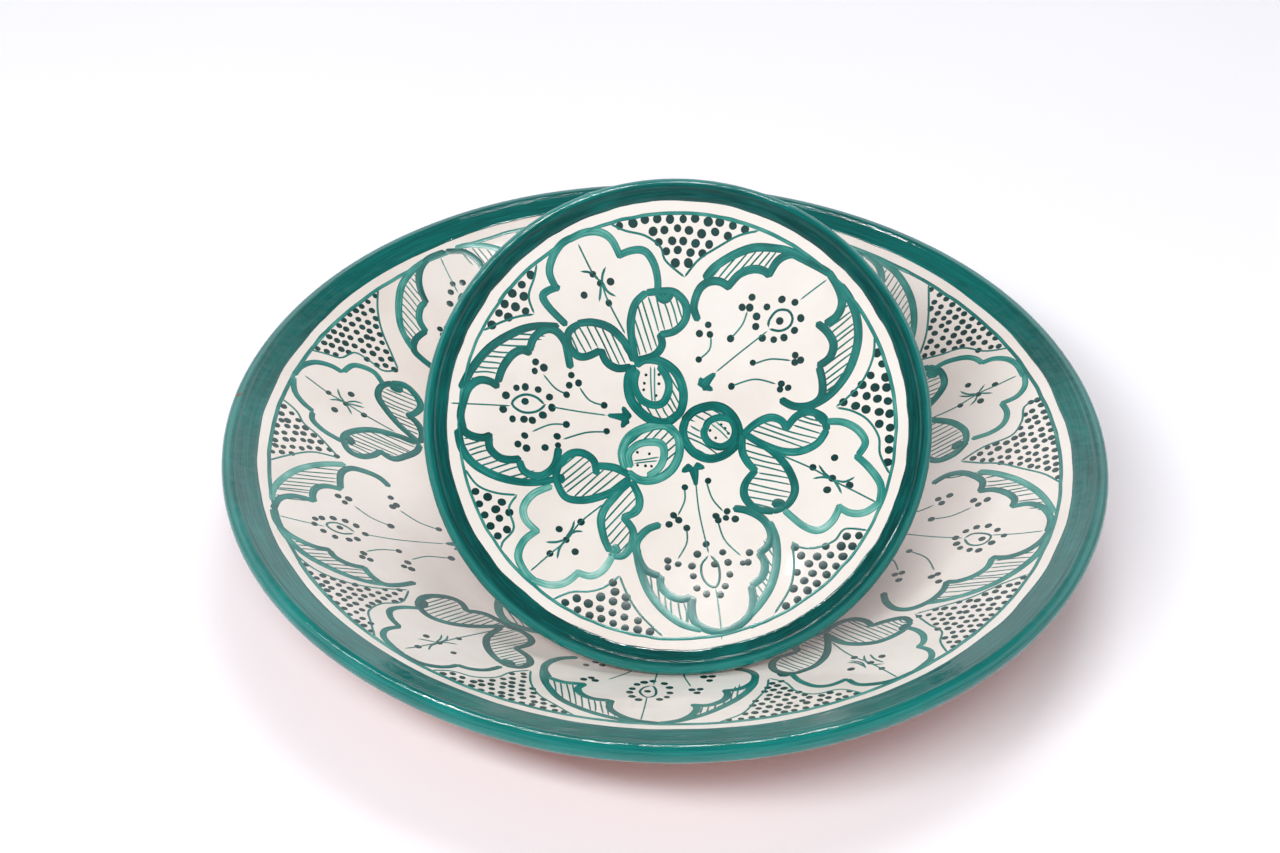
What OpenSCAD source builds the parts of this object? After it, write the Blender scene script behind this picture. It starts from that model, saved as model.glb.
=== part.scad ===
// Matched pair of hand painted ceramic plates: a large serving plate that lies
// flat, and a small plate that stands tipped up in it against a clay prop.
// Millimetres. The origin is the centre of the large plate's foot, on the table.
// +Z is up, and the small plate faces -Y.

/* [Large plate] */
// Radius over the large plate's lip
large_radius = 175; // [160:1:190]
// Height of the large plate from the table to its lip
large_height = 58; // [50:1:66]
// Height of the large plate's face above the table, at its centre
large_floor = 12; // [11:0.5:14]
// Width of the large plate's green rim band
large_band = 14; // [11:0.5:17]
// Radius of the large plate's rounded lip
large_lip = 3.8; // [3:0.1:4.5]
// Thickness of the large plate's clay wall
large_wall = 7.5; // [6:0.5:9]
// Outer radius of the large plate's foot ring
large_foot = 66; // [58:1:74]
// Inner radius of the large plate's painted ring line
large_line = 156.6; // [154:0.1:157]

/* [Small plate] */
// Radius over the small plate's lip
small_radius = 97; // [95:1:99]
// Height of the small plate from its foot to its lip
small_height = 31; // [27:1:35]
// Height of the small plate's face above its foot, at its centre
small_floor = 10; // [9:0.5:12]
// Width of the small plate's green rim band
small_band = 9; // [8:0.1:10]
// Radius of the small plate's rounded lip
small_lip = 2.9; // [2.5:0.1:3.3]
// Thickness of the small plate's clay wall
small_wall = 5.5; // [5:0.5:7]
// Outer radius of the small plate's foot ring
small_foot = 40; // [37:1:43]
// Inner radius of the small plate's painted ring line
small_line = 83.5; // [82:0.1:84]

/* [Coats] */
// Thickness of the glaze coats
glaze = 0.6; // [0.4:0.1:1]
// Width of the large plate's painted ring line
large_line_width = 1.6; // [1:0.1:2]
// Width of the small plate's painted ring line
small_line_width = 1.5; // [1:0.1:2]
// Fall of the rim band towards the middle, in degrees
band_fall = 13; // [10:1:16]

/* [Display] */
// Tilt of the small plate from the table, in degrees
small_tilt = 37.5; // [37:0.1:38]
// Turn of the small plate about the vertical, in degrees
small_turn = 1.5; // [0:0.5:3]
// Place of the small plate's foot centre to the right of the large plate's axis
small_right = 4; // [0:1:6]
// Place of the small plate's foot centre behind the large plate's axis
small_back = -17; // [-17:0.5:-14]
// Height of the small plate's foot centre above the table
small_lift = 72.5; // [72.5:0.5:76]
// Radius of the clay prop at the table
prop_base = 27; // [24:1:30]
// Radius of the clay prop at the small plate's height
prop_top = 18; // [16:1:22]
// Place of the clay prop's axis behind the large plate's axis
prop_back = 0; // [-4:1:4]

/* [Hidden] */
$fn = 120;
ARC_STEPS = 10;        // steps round a lip
FACE_STEPS = 22;       // steps along a face from the axis to the ring line
CENTRE_CURVE = 0.6;    // how early a face starts to rise from its middle
RISE_AT_BAND = 1.38;   // how steeply it arrives at the band
FOOT_THICKENING = 5;   // extra clay under the wall, beside a foot ring
FOOT_WIDTH = 0.12;     // width of a foot ring, against its radius
RECESS = 0.42;         // depth of the hollow in a foot, against the floor height
GLAZE_END = -62;       // angle round the lip where the rim glaze stops
GAP = 0.3;             // clearance between pieces that lift off each other
BOND = 0.05;           // thickness of the bond between the clay and the rim glaze
OVERRUN = 50;          // how far cutting bodies run past what they cut

// A plate is [radius, height, floor, band, lip, wall, foot, line, line_width]
LARGE = [large_radius, large_height, large_floor, large_band, large_lip,
         large_wall, large_foot, large_line, large_line_width];
SMALL = [small_radius, small_height, small_floor, small_band, small_lip,
         small_wall, small_foot, small_line, small_line_width];

function radius(p) = p[0];
function height(p) = p[1];
function floor_height(p) = p[2];
function band_width(p) = p[3];
function lip(p) = p[4];
function wall(p) = p[5];
function foot(p) = p[6];
function line_start(p) = p[7];
function line_end(p) = p[7] + p[8];

// The centre of the round lip, and where the band ends towards the middle
function lip_centre(p) = [radius(p) - lip(p), height(p) - lip(p)];
function shoulder(p) = radius(p) - band_width(p);
function shoulder_height(p) =
    lip_centre(p).y + lip(p) / cos(band_fall)
    - (lip_centre(p).x - shoulder(p)) * tan(band_fall);

// How far the face has risen at u, from 0 at the axis to 1 at the band
function rise(u) =
    let (quartic = RISE_AT_BAND - 3 + CENTRE_CURVE,
         cubic = 1 - CENTRE_CURVE - quartic)
    CENTRE_CURVE * u^2 + cubic * u^3 + quartic * u^4;

function face_height(p, r) =
    floor_height(p)
    + (shoulder_height(p) - floor_height(p)) * rise(r / shoulder(p));

// Radii along the face, with one at each edge of the ring line
function stations(p) =
    concat([for (i = [0:FACE_STEPS]) line_start(p) * i / FACE_STEPS],
           [line_end(p), shoulder(p)]);

// Points along the face between two of those radii, sunk by depth
function face_points(p, from, to, depth = 0) =
    [for (r = stations(p)) if (r >= from && r <= to) [r, face_height(p, r) - depth]];

// Points round the lip on a circle sunk by depth, from the band outwards
function lip_points(p, to, depth = 0) =
    let (from = 90 + band_fall)
    [for (i = [0:ARC_STEPS])
        let (a = from + (to - from) * i / ARC_STEPS)
        lip_centre(p) + (lip(p) - depth) * [cos(a), sin(a)]];

// Points under the wall from the lip in to the foot ring
function underside_points(p) =
    let (start = lip_centre(p).x - lip(p), end = foot(p))
    [for (i = [0:FACE_STEPS])
        let (t = i / FACE_STEPS, r = start + (end - start) * t,
             face = r < shoulder(p)
                ? face_height(p, r)
                : shoulder_height(p) + (r - shoulder(p)) * tan(band_fall))
        [r, face - wall(p) - FOOT_THICKENING * t^2]];

function reversed(list) = [for (i = [len(list) - 1:-1:0]) list[i]];

// The fired clay plate, foot ring included
module clay(p) {
    inner_foot = foot(p) * (1 - FOOT_WIDTH);
    recess = floor_height(p) * RECESS;
    rotate_extrude()
        polygon(concat(
            face_points(p, 0, shoulder(p), glaze),
            lip_points(p, -90, glaze + BOND),
            underside_points(p),
            [[foot(p) - 1, 0.8], [foot(p) - 2, 0],
             [inner_foot + 2, 0], [inner_foot, 1.6],
             [inner_foot - 1, recess], [0, recess]]));
}

// A ring of glaze on the face between two radii
module face_coat(p, from, to) {
    rotate_extrude()
        polygon(concat(face_points(p, from, to),
                       reversed(face_points(p, from, to, glaze))));
}

// The white glaze: the painted middle and the narrow ring outside the line
module white_coat(p) {
    face_coat(p, 0, line_start(p));
    face_coat(p, line_end(p), shoulder(p));
}

// The green glaze that covers the band and wraps the lip
module rim_coat(p) {
    edge = shoulder(p);
    rotate_extrude()
        polygon(concat(
            [[edge, shoulder_height(p)]],
            lip_points(p, GLAZE_END),
            reversed(lip_points(p, GLAZE_END, glaze)),
            [[edge, shoulder_height(p) - glaze]]));
}

// Stands what it holds where the small plate is displayed
module displayed() {
    translate([small_right, small_back, small_lift])
        rotate([small_tilt, 0, small_turn])
            children();
}

// The tapered clay post that holds the small plate up: its base follows the
// large plate's face, and its top is cut to the slope of the small plate's foot
module prop() {
    difference() {
        translate([small_right, prop_back, 0])
            cylinder(h = 2 * small_lift, r1 = prop_base,
                     r2 = prop_base - 2 * (prop_base - prop_top));
        translate([0, 0, GAP])
            rotate_extrude()
                polygon(concat(face_points(LARGE, 0, shoulder(LARGE)),
                               [[shoulder(LARGE), -OVERRUN], [0, -OVERRUN]]));
        displayed()
            translate([-OVERRUN, -2 * OVERRUN, -GAP])
                cube([2 * OVERRUN, 4 * OVERRUN, 3 * OVERRUN]);
    }
}

module large_plate_clay() { color("#b86a4c") clay(LARGE); }
module large_plate_white_glaze() { color("#f0eae4") white_coat(LARGE); }
module large_plate_ring_line() {
    color("#2f7f73") face_coat(LARGE, line_start(LARGE), line_end(LARGE));
}
module large_plate_rim_glaze() { color("#12665c") rim_coat(LARGE); }
module small_plate_clay() { color("#b86a4c") displayed() clay(SMALL); }
module small_plate_white_glaze() { color("#f0eae4") displayed() white_coat(SMALL); }
module small_plate_ring_line() {
    color("#2f7f73")
        displayed() face_coat(SMALL, line_start(SMALL), line_end(SMALL));
}
module small_plate_rim_glaze() { color("#12665c") displayed() rim_coat(SMALL); }
module display_prop() { color("#a86046") prop(); }

large_plate_clay();
large_plate_white_glaze();
large_plate_ring_line();
large_plate_rim_glaze();
small_plate_clay();
small_plate_white_glaze();
small_plate_ring_line();
small_plate_rim_glaze();
display_prop();
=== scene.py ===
# %% [markdown]
# # A hand painted serving plate and its side plate
#
# Two thrown red clay plates, glazed white and painted in copper green. The large
# one lies on the table. The small one is tipped up in it against a clay prop, so
# that both paintings show. This file turns the plates, paints them stroke by
# stroke, and lights them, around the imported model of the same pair.

# %% Load the frame
import math
import random

import bmesh
import bpy
import numpy as np
from mathutils import Matrix, Vector


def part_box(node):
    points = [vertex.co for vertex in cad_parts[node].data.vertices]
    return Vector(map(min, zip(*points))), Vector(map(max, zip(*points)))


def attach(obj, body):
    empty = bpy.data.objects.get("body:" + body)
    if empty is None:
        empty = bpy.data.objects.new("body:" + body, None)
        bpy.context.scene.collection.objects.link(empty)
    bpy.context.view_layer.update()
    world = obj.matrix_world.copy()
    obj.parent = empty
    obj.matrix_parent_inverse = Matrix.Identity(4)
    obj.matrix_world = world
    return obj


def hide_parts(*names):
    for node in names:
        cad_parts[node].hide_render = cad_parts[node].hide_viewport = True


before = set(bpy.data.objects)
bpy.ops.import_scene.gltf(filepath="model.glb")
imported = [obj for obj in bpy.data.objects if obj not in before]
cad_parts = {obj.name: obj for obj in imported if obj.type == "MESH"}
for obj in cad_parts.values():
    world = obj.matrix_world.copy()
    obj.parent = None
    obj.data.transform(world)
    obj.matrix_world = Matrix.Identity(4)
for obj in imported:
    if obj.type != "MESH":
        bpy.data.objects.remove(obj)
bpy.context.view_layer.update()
MM = 0.001

# %% [markdown]
# ## The plates' sizes
#
# A thrown plate is a profile spun round an axis, so a handful of radii and heights
# describe it. These are the sizes that the design uses, in millimetres. The widest
# radius and the height of the large plate come straight from the imported model.


# %% Sizes of both plates
class Plate:
    """One plate's sizes in millimetres, in its own frame: foot at zero, face up."""

    def __init__(self, name, radius, height, floor, band, lip, wall, foot, line, glaze=0.6):
        self.name, self.radius, self.height, self.floor = name, radius, height, floor
        self.lip, self.wall, self.foot = lip, wall, foot
        self.line, self.glaze = line, glaze
        self.shoulder = radius - band
        self.lip_r, self.lip_z = radius - lip, height - lip
        fall = math.tan(math.radians(BAND_FALL))
        self.shoulder_z = (self.lip_z + lip / math.cos(math.radians(BAND_FALL))
                           - (self.lip_r - self.shoulder) * fall)

    def face(self, r):
        """Height of the painted face at distance r from the axis."""
        u = r / self.shoulder
        quartic = RISE_AT_BAND - 3 + CENTRE_CURVE
        rise = CENTRE_CURVE * u**2 + (1 - CENTRE_CURVE - quartic) * u**3 + quartic * u**4
        return self.floor + (self.shoulder_z - self.floor) * rise


BAND_FALL = 13        # fall of the rim band towards the middle, in degrees
CENTRE_CURVE = 0.6    # how early a face starts to rise from its middle
RISE_AT_BAND = 1.38   # how steeply it arrives at the band

rim_low, rim_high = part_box("large_plate_rim_glaze")
large = Plate("large", (rim_high[0] - rim_low[0]) / 2 / MM, rim_high[2] / MM, floor=12,
              band=14, lip=3.8, wall=7.5, foot=66, line=156.6)
small = Plate("small", 97, 31, floor=10, band=9, lip=2.9, wall=5.5, foot=40, line=83.5)
print("large plate radius %.1f height %.1f" % (large.radius, large.height))

# %% [markdown]
# ## Where the small plate stands
#
# Everything is made flat, in its own plate's frame, and finished by one matrix that
# carries it to where it is displayed. The pieces' own objects never move.

# %% Displayed places
TILT, TURN = math.radians(37.5), math.radians(1.5)
SMALL_FOOT = Vector((4, -17, 72.5)) * MM   # middle of its foot ring, above the table
displayed = {
    "large": Matrix.Identity(4),
    "small": (Matrix.Translation(SMALL_FOOT) @ Matrix.Rotation(TURN, 4, "Z")
              @ Matrix.Rotation(TILT, 4, "X")),
}
print("small plate tipped %.1f degrees, foot at %.1f mm"
      % (math.degrees(TILT), SMALL_FOOT.z / MM))

# %% [markdown]
# ## Camera
#
# The plates are seen from about forty degrees above the table, with a long lens, so
# that circles stay even ellipses from the near rim to the far one. The camera is
# placed along its line of sight rather than by its coordinates, because then the
# height, the distance and the lens can each be changed without losing the others. A
# head that is not quite level on the tripod gives the slight roll.

# %% Camera
VIEW_HEIGHT, VIEW_ROLL = math.radians(39.7), math.radians(1.28)
VIEW_DISTANCE = 1.4                       # in metres
LENS, SENSOR_WIDTH = 99.4, 36             # in millimetres
AIM_RIGHT, AIM_UP = -0.0103, 0.00495      # how far it aims beside the rim's middle, in metres

aim = Vector((0, 0, large.height * MM))
sight = Vector((0, math.cos(VIEW_HEIGHT), -math.sin(VIEW_HEIGHT)))
across = Vector((1, 0, 0))
up = across.cross(sight)
camera = bpy.data.objects.new("camera", bpy.data.cameras.new("camera"))
bpy.context.scene.collection.objects.link(camera)
camera.data.lens = LENS
camera.data.sensor_width = SENSOR_WIDTH
camera.location = aim - sight * VIEW_DISTANCE
target = aim + across * AIM_RIGHT + up * AIM_UP
look = (target - camera.location).to_track_quat("-Z", "Y").to_matrix().to_4x4()
roll = Matrix.Rotation(VIEW_ROLL, 4, "Z")
camera.rotation_euler = (look @ roll).to_euler()
bpy.context.scene.camera = camera
print("camera %.2f m away, %.0f mm lens" % (VIEW_DISTANCE, LENS))

# %% [markdown]
# ## Small helpers for node trees
#
# Materials and Geometry Nodes trees are both graphs of nodes. One helper adds a
# node, sets its properties and fills its inputs with values or with other nodes'
# outputs, which keeps each tree below short enough to read.


# %% Graph helper
class Graph:
    """Adds nodes to a tree and links them."""

    def __init__(self, tree):
        self.tree = tree
        tree.nodes.clear()

    def add(self, kind, inputs=None, **settings):
        """A node with its settings, each input linked if it is given a node or socket."""
        node = self.tree.nodes.new(kind)
        for key, value in settings.items():
            setattr(node, key, value)
        for key, value in (inputs or {}).items():
            socket = node.inputs[key]
            if isinstance(value, bpy.types.NodeSocket):
                self.tree.links.new(value, socket)
            elif isinstance(value, bpy.types.Node):
                self.tree.links.new(value.outputs[0], socket)
            else:
                socket.default_value = value
        return node

    def math(self, operation, *values, clamp=False):
        """One sum on numbers."""
        node = self.add("ShaderNodeMath", dict(enumerate(values)), operation=operation)
        node.use_clamp = clamp
        return node.outputs[0]

    def vector(self, operation, *values):
        return self.add("ShaderNodeVectorMath", dict(enumerate(values)),
                        operation=operation).outputs[0]

    def xyz(self, x=0.0, y=0.0, z=0.0):
        return self.add("ShaderNodeCombineXYZ", {0: x, 1: y, 2: z}).outputs[0]

    def split(self, vector):
        return self.add("ShaderNodeSeparateXYZ", {0: vector}).outputs

    def noise(self, vector, scale, detail=2.0, roughness=0.5):
        return self.add("ShaderNodeTexNoise", {"Vector": vector, "Scale": scale,
                        "Detail": detail, "Roughness": roughness}).outputs[0]

    def ranged(self, value, low, high, to_low=0.0, to_high=1.0):
        """Stretches low..high over to_low..to_high and stops at both ends."""
        return self.add("ShaderNodeMapRange", {0: value, 1: low, 2: high, 3: to_low,
                                               4: to_high}).outputs[0]

    def blend(self, factor, a, b):
        """From colour a to colour b."""
        return self.add("ShaderNodeMix", {0: factor, 6: a, 7: b}, data_type="RGBA").outputs[2]


def ramp(graph, factor, *stops):
    """A colour ramp from (position, hex colour) pairs."""
    node = graph.add("ShaderNodeValToRGB", {0: factor})
    elements = node.color_ramp.elements
    while len(elements) < len(stops):
        elements.new(0.5)
    for element, (place, code) in zip(elements, stops):
        element.position = place
        element.color = rgb(code)
    return node.outputs[0]


def rgb(code):
    """A colour written as six hex digits, as the linear colour that a socket takes."""
    parts = [int(code[i:i + 2], 16) / 255 for i in (0, 2, 4)]
    return [c / 12.92 if c <= 0.04045 else ((c + 0.055) / 1.055) ** 2.4 for c in parts] + [1]


# %% [markdown]
# ## Table and light
#
# Glossy glaze shows its lamps as bright shapes, and matt things show them as soft
# shading, so the two are set apart here: thin strips behind the plates are seen only
# in reflections and draw the highlights on the rolled lips, while a broad lamp in
# front and a weak one overhead give only soft light. That way the highlights can be
# placed without changing a single shadow. The surroundings are a plain gradient:
# walls that grow brighter upwards and towards the back, under a dark ceiling that
# keeps the green deep where it faces up. They are dimmed for soft light, so that the
# shadow under the rim stays dark, and look almost white to the camera.


# %% Table and lights
def make_table(half=6.0):
    """A wide white table top, which is not part of the object."""
    mesh = bpy.data.meshes.new("table")
    mesh.from_pydata([(-half, -half, 0), (half, -half, 0), (half, half, 0), (-half, half, 0)],
                     [], [(0, 1, 2, 3)])
    table = bpy.data.objects.new("table", mesh)
    bpy.context.scene.collection.objects.link(table)
    material = bpy.data.materials.new("table_white")
    material.use_nodes = True
    graph = Graph(material.node_tree)
    place = graph.add("ShaderNodeTexCoord").outputs["Object"]
    tone = graph.ranged(graph.noise(place, 3.0), 0.3, 0.7)
    colour = graph.blend(tone, rgb("f9f9fe"), rgb("fbfbff"))
    shader = graph.add("ShaderNodeBsdfPrincipled", {
        "Base Color": colour, "Roughness": 0.6, "Emission Color": rgb("fafaff"),
        "Emission Strength": 0.05})
    graph.add("ShaderNodeOutputMaterial", {0: shader})
    mesh.materials.append(material)


def area_light(name, place, toward, width, height, watts, highlight):
    """A rectangular light at a place: either a highlight in the glaze or soft light."""
    data = bpy.data.lights.new(name, "AREA")
    data.shape, data.size, data.size_y = "RECTANGLE", width, height
    data.energy = watts
    light = bpy.data.objects.new(name, data)
    light.location = place
    light.visible_glossy = highlight
    light.visible_diffuse = not highlight
    light.rotation_euler = (Vector(toward) - Vector(place)).to_track_quat("-Z", "Y").to_euler()
    bpy.context.scene.collection.objects.link(light)


CEILING, SOFT_SHARE, BACKDROP = 0.14, 0.42, 0.92
WALL_BY_HEADING = -0.7, 0.7, 0.66, 1.5     # from the front to the back
WALL_BY_HEIGHT = 0.12, 0.5, 0.55, 1.4      # from low to high


def make_surroundings():
    """Walls and a ceiling as light that comes from each direction."""
    world = bpy.data.worlds.new("studio")
    bpy.context.scene.world = world
    world.use_nodes = True
    sky = Graph(world.node_tree)

    def between(factor, a, b):
        """From strength a to strength b."""
        return sky.math("ADD", sky.math("MULTIPLY", sky.math("SUBTRACT", 1.0, factor), a),
                        sky.math("MULTIPLY", factor, b))

    way = sky.add("ShaderNodeTexCoord").outputs["Generated"]
    _, heading, height = sky.split(way)
    walls = sky.math("MULTIPLY", sky.ranged(heading, *WALL_BY_HEADING),
                     sky.ranged(height, *WALL_BY_HEIGHT))
    brightness = between(sky.ranged(height, 0.54, 0.78), walls, CEILING)
    rays = sky.add("ShaderNodeLightPath").outputs
    share = sky.ranged(rays["Is Diffuse Ray"], 0, 1, 1.0, SOFT_SHARE)
    strength = between(rays["Is Camera Ray"], sky.math("MULTIPLY", brightness, share), BACKDROP)
    air = sky.add("ShaderNodeBackground", {"Color": rgb("f6f6fb"), "Strength": strength})
    sky.add("ShaderNodeOutputWorld", {0: air})


make_table()
area_light("strip", (-0.10, 0.38, 1.6), (-0.05, 0, 0), 1.1, 0.03, 15, highlight=True)
area_light("side_strip", (-0.75, 0.15, 1.3), (0, 0, 0), 0.05, 0.7, 4, highlight=True)
area_light("key", (-0.45, -1.2, 1.5), (0, 0, 0.05), 1.3, 0.3, 31, highlight=False)
area_light("overhead", (0.15, 0.35, 1.9), (0, 0, 0), 0.8, 0.7, 10, highlight=False)
make_surroundings()
bpy.context.scene.view_settings.view_transform = "Standard"

# %% [markdown]
# ## Turning on the wheel
#
# A thrown form is one outline spun round the wheel's axis, so its shape follows a
# rule and Geometry Nodes make it: a grid is rolled up, each of its rows takes one
# point of the outline, and the seam and poles are welded. Real clay is never quite
# round, so a slow noise that depends only on the angle sways the radius and height,
# the same for every coat of one plate. An outline also has a second, `far` version,
# and the edge wanders between the two, which gives a glaze its uneven run.


# %% The wheel, as a Geometry Nodes tree
def tree_with(name, sockets):
    """A new Geometry Nodes tree that takes and gives a mesh, with more named inputs."""
    tree = bpy.data.node_groups.new(name, "GeometryNodeTree")
    tree.interface.new_socket("Mesh", in_out="INPUT", socket_type="NodeSocketGeometry")
    tree.interface.new_socket("Mesh", in_out="OUTPUT", socket_type="NodeSocketGeometry")
    for label, kind in sockets:
        tree.interface.new_socket(label, in_out="INPUT", socket_type="NodeSocket" + kind)
    graph = Graph(tree)
    return graph, graph.add("NodeGroupInput").outputs


def named(graph, attribute, kind="FLOAT"):
    return graph.add("GeometryNodeInputNamedAttribute", {"Name": attribute},
                     data_type=kind).outputs[0]


def end_tree(graph, mesh, material):
    """Gives the mesh its material and ends the tree."""
    painted = graph.add("GeometryNodeSetMaterial", {0: mesh, "Material": material})
    graph.add("NodeGroupOutput", {0: painted})
    return graph.tree


def wheel_tree():
    """Rolls a grid up round the axis, each row on one point of the given outline."""
    graph, given = tree_with("turned_on_the_wheel", [
        ("Around", "Int"), ("Wobble", "Float"), ("Seed", "Float"), ("Material", "Material")])
    outline = given["Mesh"]
    count = graph.add("GeometryNodeAttributeDomainSize", {0: outline}).outputs["Point Count"]
    grid = graph.add("GeometryNodeMeshGrid", {
        "Size X": 1.0, "Size Y": 1.0, "Vertices X": count,
        "Vertices Y": graph.math("ADD", given["Around"], 1.0)})
    x, y, _ = graph.split(graph.add("GeometryNodeInputPosition").outputs[0])
    row = graph.math("ROUND", graph.math("MULTIPLY", graph.math("ADD", x, 0.5),
                                         graph.math("SUBTRACT", count, 1.0)))
    angle = graph.math("MULTIPLY", graph.math("ADD", y, 0.5), math.tau)
    cosine, sine = graph.math("COSINE", angle), graph.math("SINE", angle)

    def sway(turns, shift, low, high):
        """A slow noise of the angle alone, which meets itself after a whole turn."""
        place = graph.xyz(graph.math("MULTIPLY", cosine, turns),
                          graph.math("MULTIPLY", sine, turns),
                          graph.math("ADD", given["Seed"], shift))
        return graph.ranged(graph.noise(place, 1.0, 1.0), 0.3, 0.7, low, high)

    def sampled(value):
        """A value of the outline's point for this row."""
        return graph.add("GeometryNodeSampleIndex", {
            "Geometry": outline, "Value": value, "Index": row},
            data_type="FLOAT_VECTOR").outputs[0]

    near = sampled(graph.add("GeometryNodeInputPosition").outputs[0])
    far = sampled(named(graph, "far", "FLOAT_VECTOR"))
    run = sway(7.0, 11.0, 0.0, 1.0)
    step = graph.vector("SUBTRACT", far, near)
    moved = graph.add("ShaderNodeVectorMath", {0: step, "Scale": run}, operation="SCALE")
    radius, _, height = graph.split(graph.vector("ADD", near, moved.outputs[0]))
    wide = graph.math("MULTIPLY_ADD", sway(0.9, 0.0, -1.0, 1.0), given["Wobble"], 1.0)
    tall = graph.math("MULTIPLY_ADD", sway(0.7, 5.0, -2.0, 2.0), given["Wobble"], 1.0)
    radius, height = graph.math("MULTIPLY", radius, wide), graph.math("MULTIPLY", height, tall)
    place = graph.xyz(graph.math("MULTIPLY", radius, cosine),
                      graph.math("MULTIPLY", radius, sine), height)
    rolled = graph.add("GeometryNodeSetPosition", {0: grid, "Position": place})
    welded = graph.add("GeometryNodeMergeByDistance", {0: rolled, "Distance": 8e-6})
    shaded = graph.add("GeometryNodeSetShadeSmooth", {0: welded, "Shade Smooth": True})
    return end_tree(graph, shaded, given["Material"])


wheel = wheel_tree()
print("tree", wheel.name, "with", len(wheel.nodes), "nodes")

# %% [markdown]
# ## Running a tree, and finishing a piece
#
# A tree works on an object through a modifier. Here the modifier is only a tool: the
# outline goes in, the finished mesh is taken out, and the helper object goes. Each
# value is handed over by the name of its input, so a call reads like a sentence.
# Settling a finished mesh keeps each point's place on its plate, which the glazes
# use, carries it to where it is displayed, hangs it on the body that it rides and
# hides the pieces of the imported model that it stands for.


# %% Running a tree on a mesh
def make_mesh(name, vertices, edges=(), faces=(), **attributes):
    """A mesh from lists, with named point attributes: floats, or vectors of three."""
    mesh = bpy.data.meshes.new(name)
    mesh.from_pydata([tuple(v) for v in vertices], list(edges), list(faces))
    for key, values in attributes.items():
        values = np.asarray(values, dtype=np.float32)
        kind = "FLOAT_VECTOR" if values.ndim == 2 else "FLOAT"
        layer = mesh.attributes.new(key, kind, "POINT")
        layer.data.foreach_set("vector" if values.ndim == 2 else "value", values.ravel())
    return mesh


def run_tree(tree, mesh, name, **inputs):
    """Runs a Geometry Nodes tree on a mesh and returns the result as a plain mesh."""
    source = bpy.data.objects.new(name + "_source", mesh)
    bpy.context.scene.collection.objects.link(source)
    modifier = source.modifiers.new("nodes", "NODES")
    modifier.node_group = tree
    identifiers = {item.name: item.identifier for item in tree.interface.items_tree
                   if item.in_out == "INPUT"}
    for key, value in inputs.items():
        modifier[identifiers[key.replace("_", " ").capitalize()]] = value
    graph = bpy.context.evaluated_depsgraph_get()
    result = bpy.data.meshes.new_from_object(
        source.evaluated_get(graph), preserve_all_data_layers=True, depsgraph=graph)
    bpy.data.objects.remove(source)
    bpy.data.meshes.remove(mesh)
    result.name = name
    return result


def outward(mesh):
    """Turns every face of a closed mesh outwards."""
    work = bmesh.new()
    work.from_mesh(mesh)
    bmesh.ops.recalc_face_normals(work, faces=work.faces)
    work.to_mesh(mesh)
    work.free()


def settle(mesh, name, plate, body, slot, *nodes):
    """Makes a mesh a finished piece: displayed, riding its body, in place of its nodes."""
    flat = np.empty(len(mesh.vertices) * 3, dtype=np.float32)
    mesh.vertices.foreach_get("co", flat)
    layer = mesh.attributes.new("plate_place", "FLOAT_VECTOR", "POINT")
    layer.data.foreach_set("vector", flat)
    outward(mesh)
    mesh.transform(displayed[plate.name])
    mesh.update()
    piece = bpy.data.objects.new(name, mesh)
    bpy.context.scene.collection.objects.link(piece)
    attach(piece, body)
    if nodes:
        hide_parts(*nodes)
    mesh.calc_loop_triangles()
    print("%-32s %7d triangles" % (name, len(mesh.loop_triangles)))
    return piece


# %% [markdown]
# ## Outlines of the clay and its coats
#
# Each outline is a list of radius and height along one side of the form. The clay
# keeps the shallow rings that the turning tool left on its underside, and a
# softened foot. The white glaze lies in the dish and runs under the rim. The green
# rim glaze sits on it, thick at its inner edge where it pooled, wraps the lip and
# ends in an uneven roll just below it.


# %% Outline functions
TOOL_RING = 0.16    # depth of the turning tool's rings
FOOT_WEIGHT = 5     # how much thicker the wall is at the foot than at the lip


def arc(centre_r, centre_z, radius, start, end, steps):
    """Points round a circle from one angle to another, in degrees."""
    angles = np.radians(np.linspace(start, end, steps))
    return np.c_[centre_r + radius * np.cos(angles), centre_z + radius * np.sin(angles)]


def face_line(plate, start, end, steps, above=0.0):
    """Points along the painted face, or a little above or below it."""
    radii = np.linspace(start, end, steps)
    return np.c_[radii, plate.face(radii) + above]


def underside(plate, steps=150):
    """The turned wall from the lip in to the foot, with its tool rings."""
    start = plate.lip_r - plate.lip * 0.9
    t = np.linspace(0, 1, steps)
    r = start + (plate.foot - start) * t
    band = plate.shoulder_z + (r - plate.shoulder) * math.tan(math.radians(BAND_FALL))
    over = np.where(r < plate.shoulder, plate.face(r), band)
    rings = (TOOL_RING * np.abs(np.sin(r * math.pi / 6.3 + 0.6 * np.sin(r / 17)))
             * np.sin(math.pi * t))
    return np.c_[r, over - plate.wall - FOOT_WEIGHT * t**2 - rings]


def clay_outline(plate):
    """The whole body: up the dish, over the lip, in along the underside, round the foot."""
    inner, recess = plate.foot * 0.88, plate.floor * 0.42
    soft = 1.4
    foot_top = underside(plate)[-1, 1]
    return np.concatenate([
        face_line(plate, 0, plate.shoulder, 60, -plate.glaze),
        arc(plate.lip_r, plate.lip_z, plate.lip - plate.glaze, 90 + BAND_FALL, -90, 24),
        underside(plate),
        [[plate.foot - 0.4, foot_top - 1.2], [plate.foot - 0.5, soft * 1.5]],
        arc(plate.foot - 0.6 - soft, soft, soft, 0, -90, 8),
        arc(inner + soft, soft, soft, -90, -180, 8),
        arc(inner - soft, recess - soft, soft, 0, 90, 8),
        face_line(plate, inner - 2 * soft, 0, 30) * [1, 0] + [0, recess]])


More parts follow.
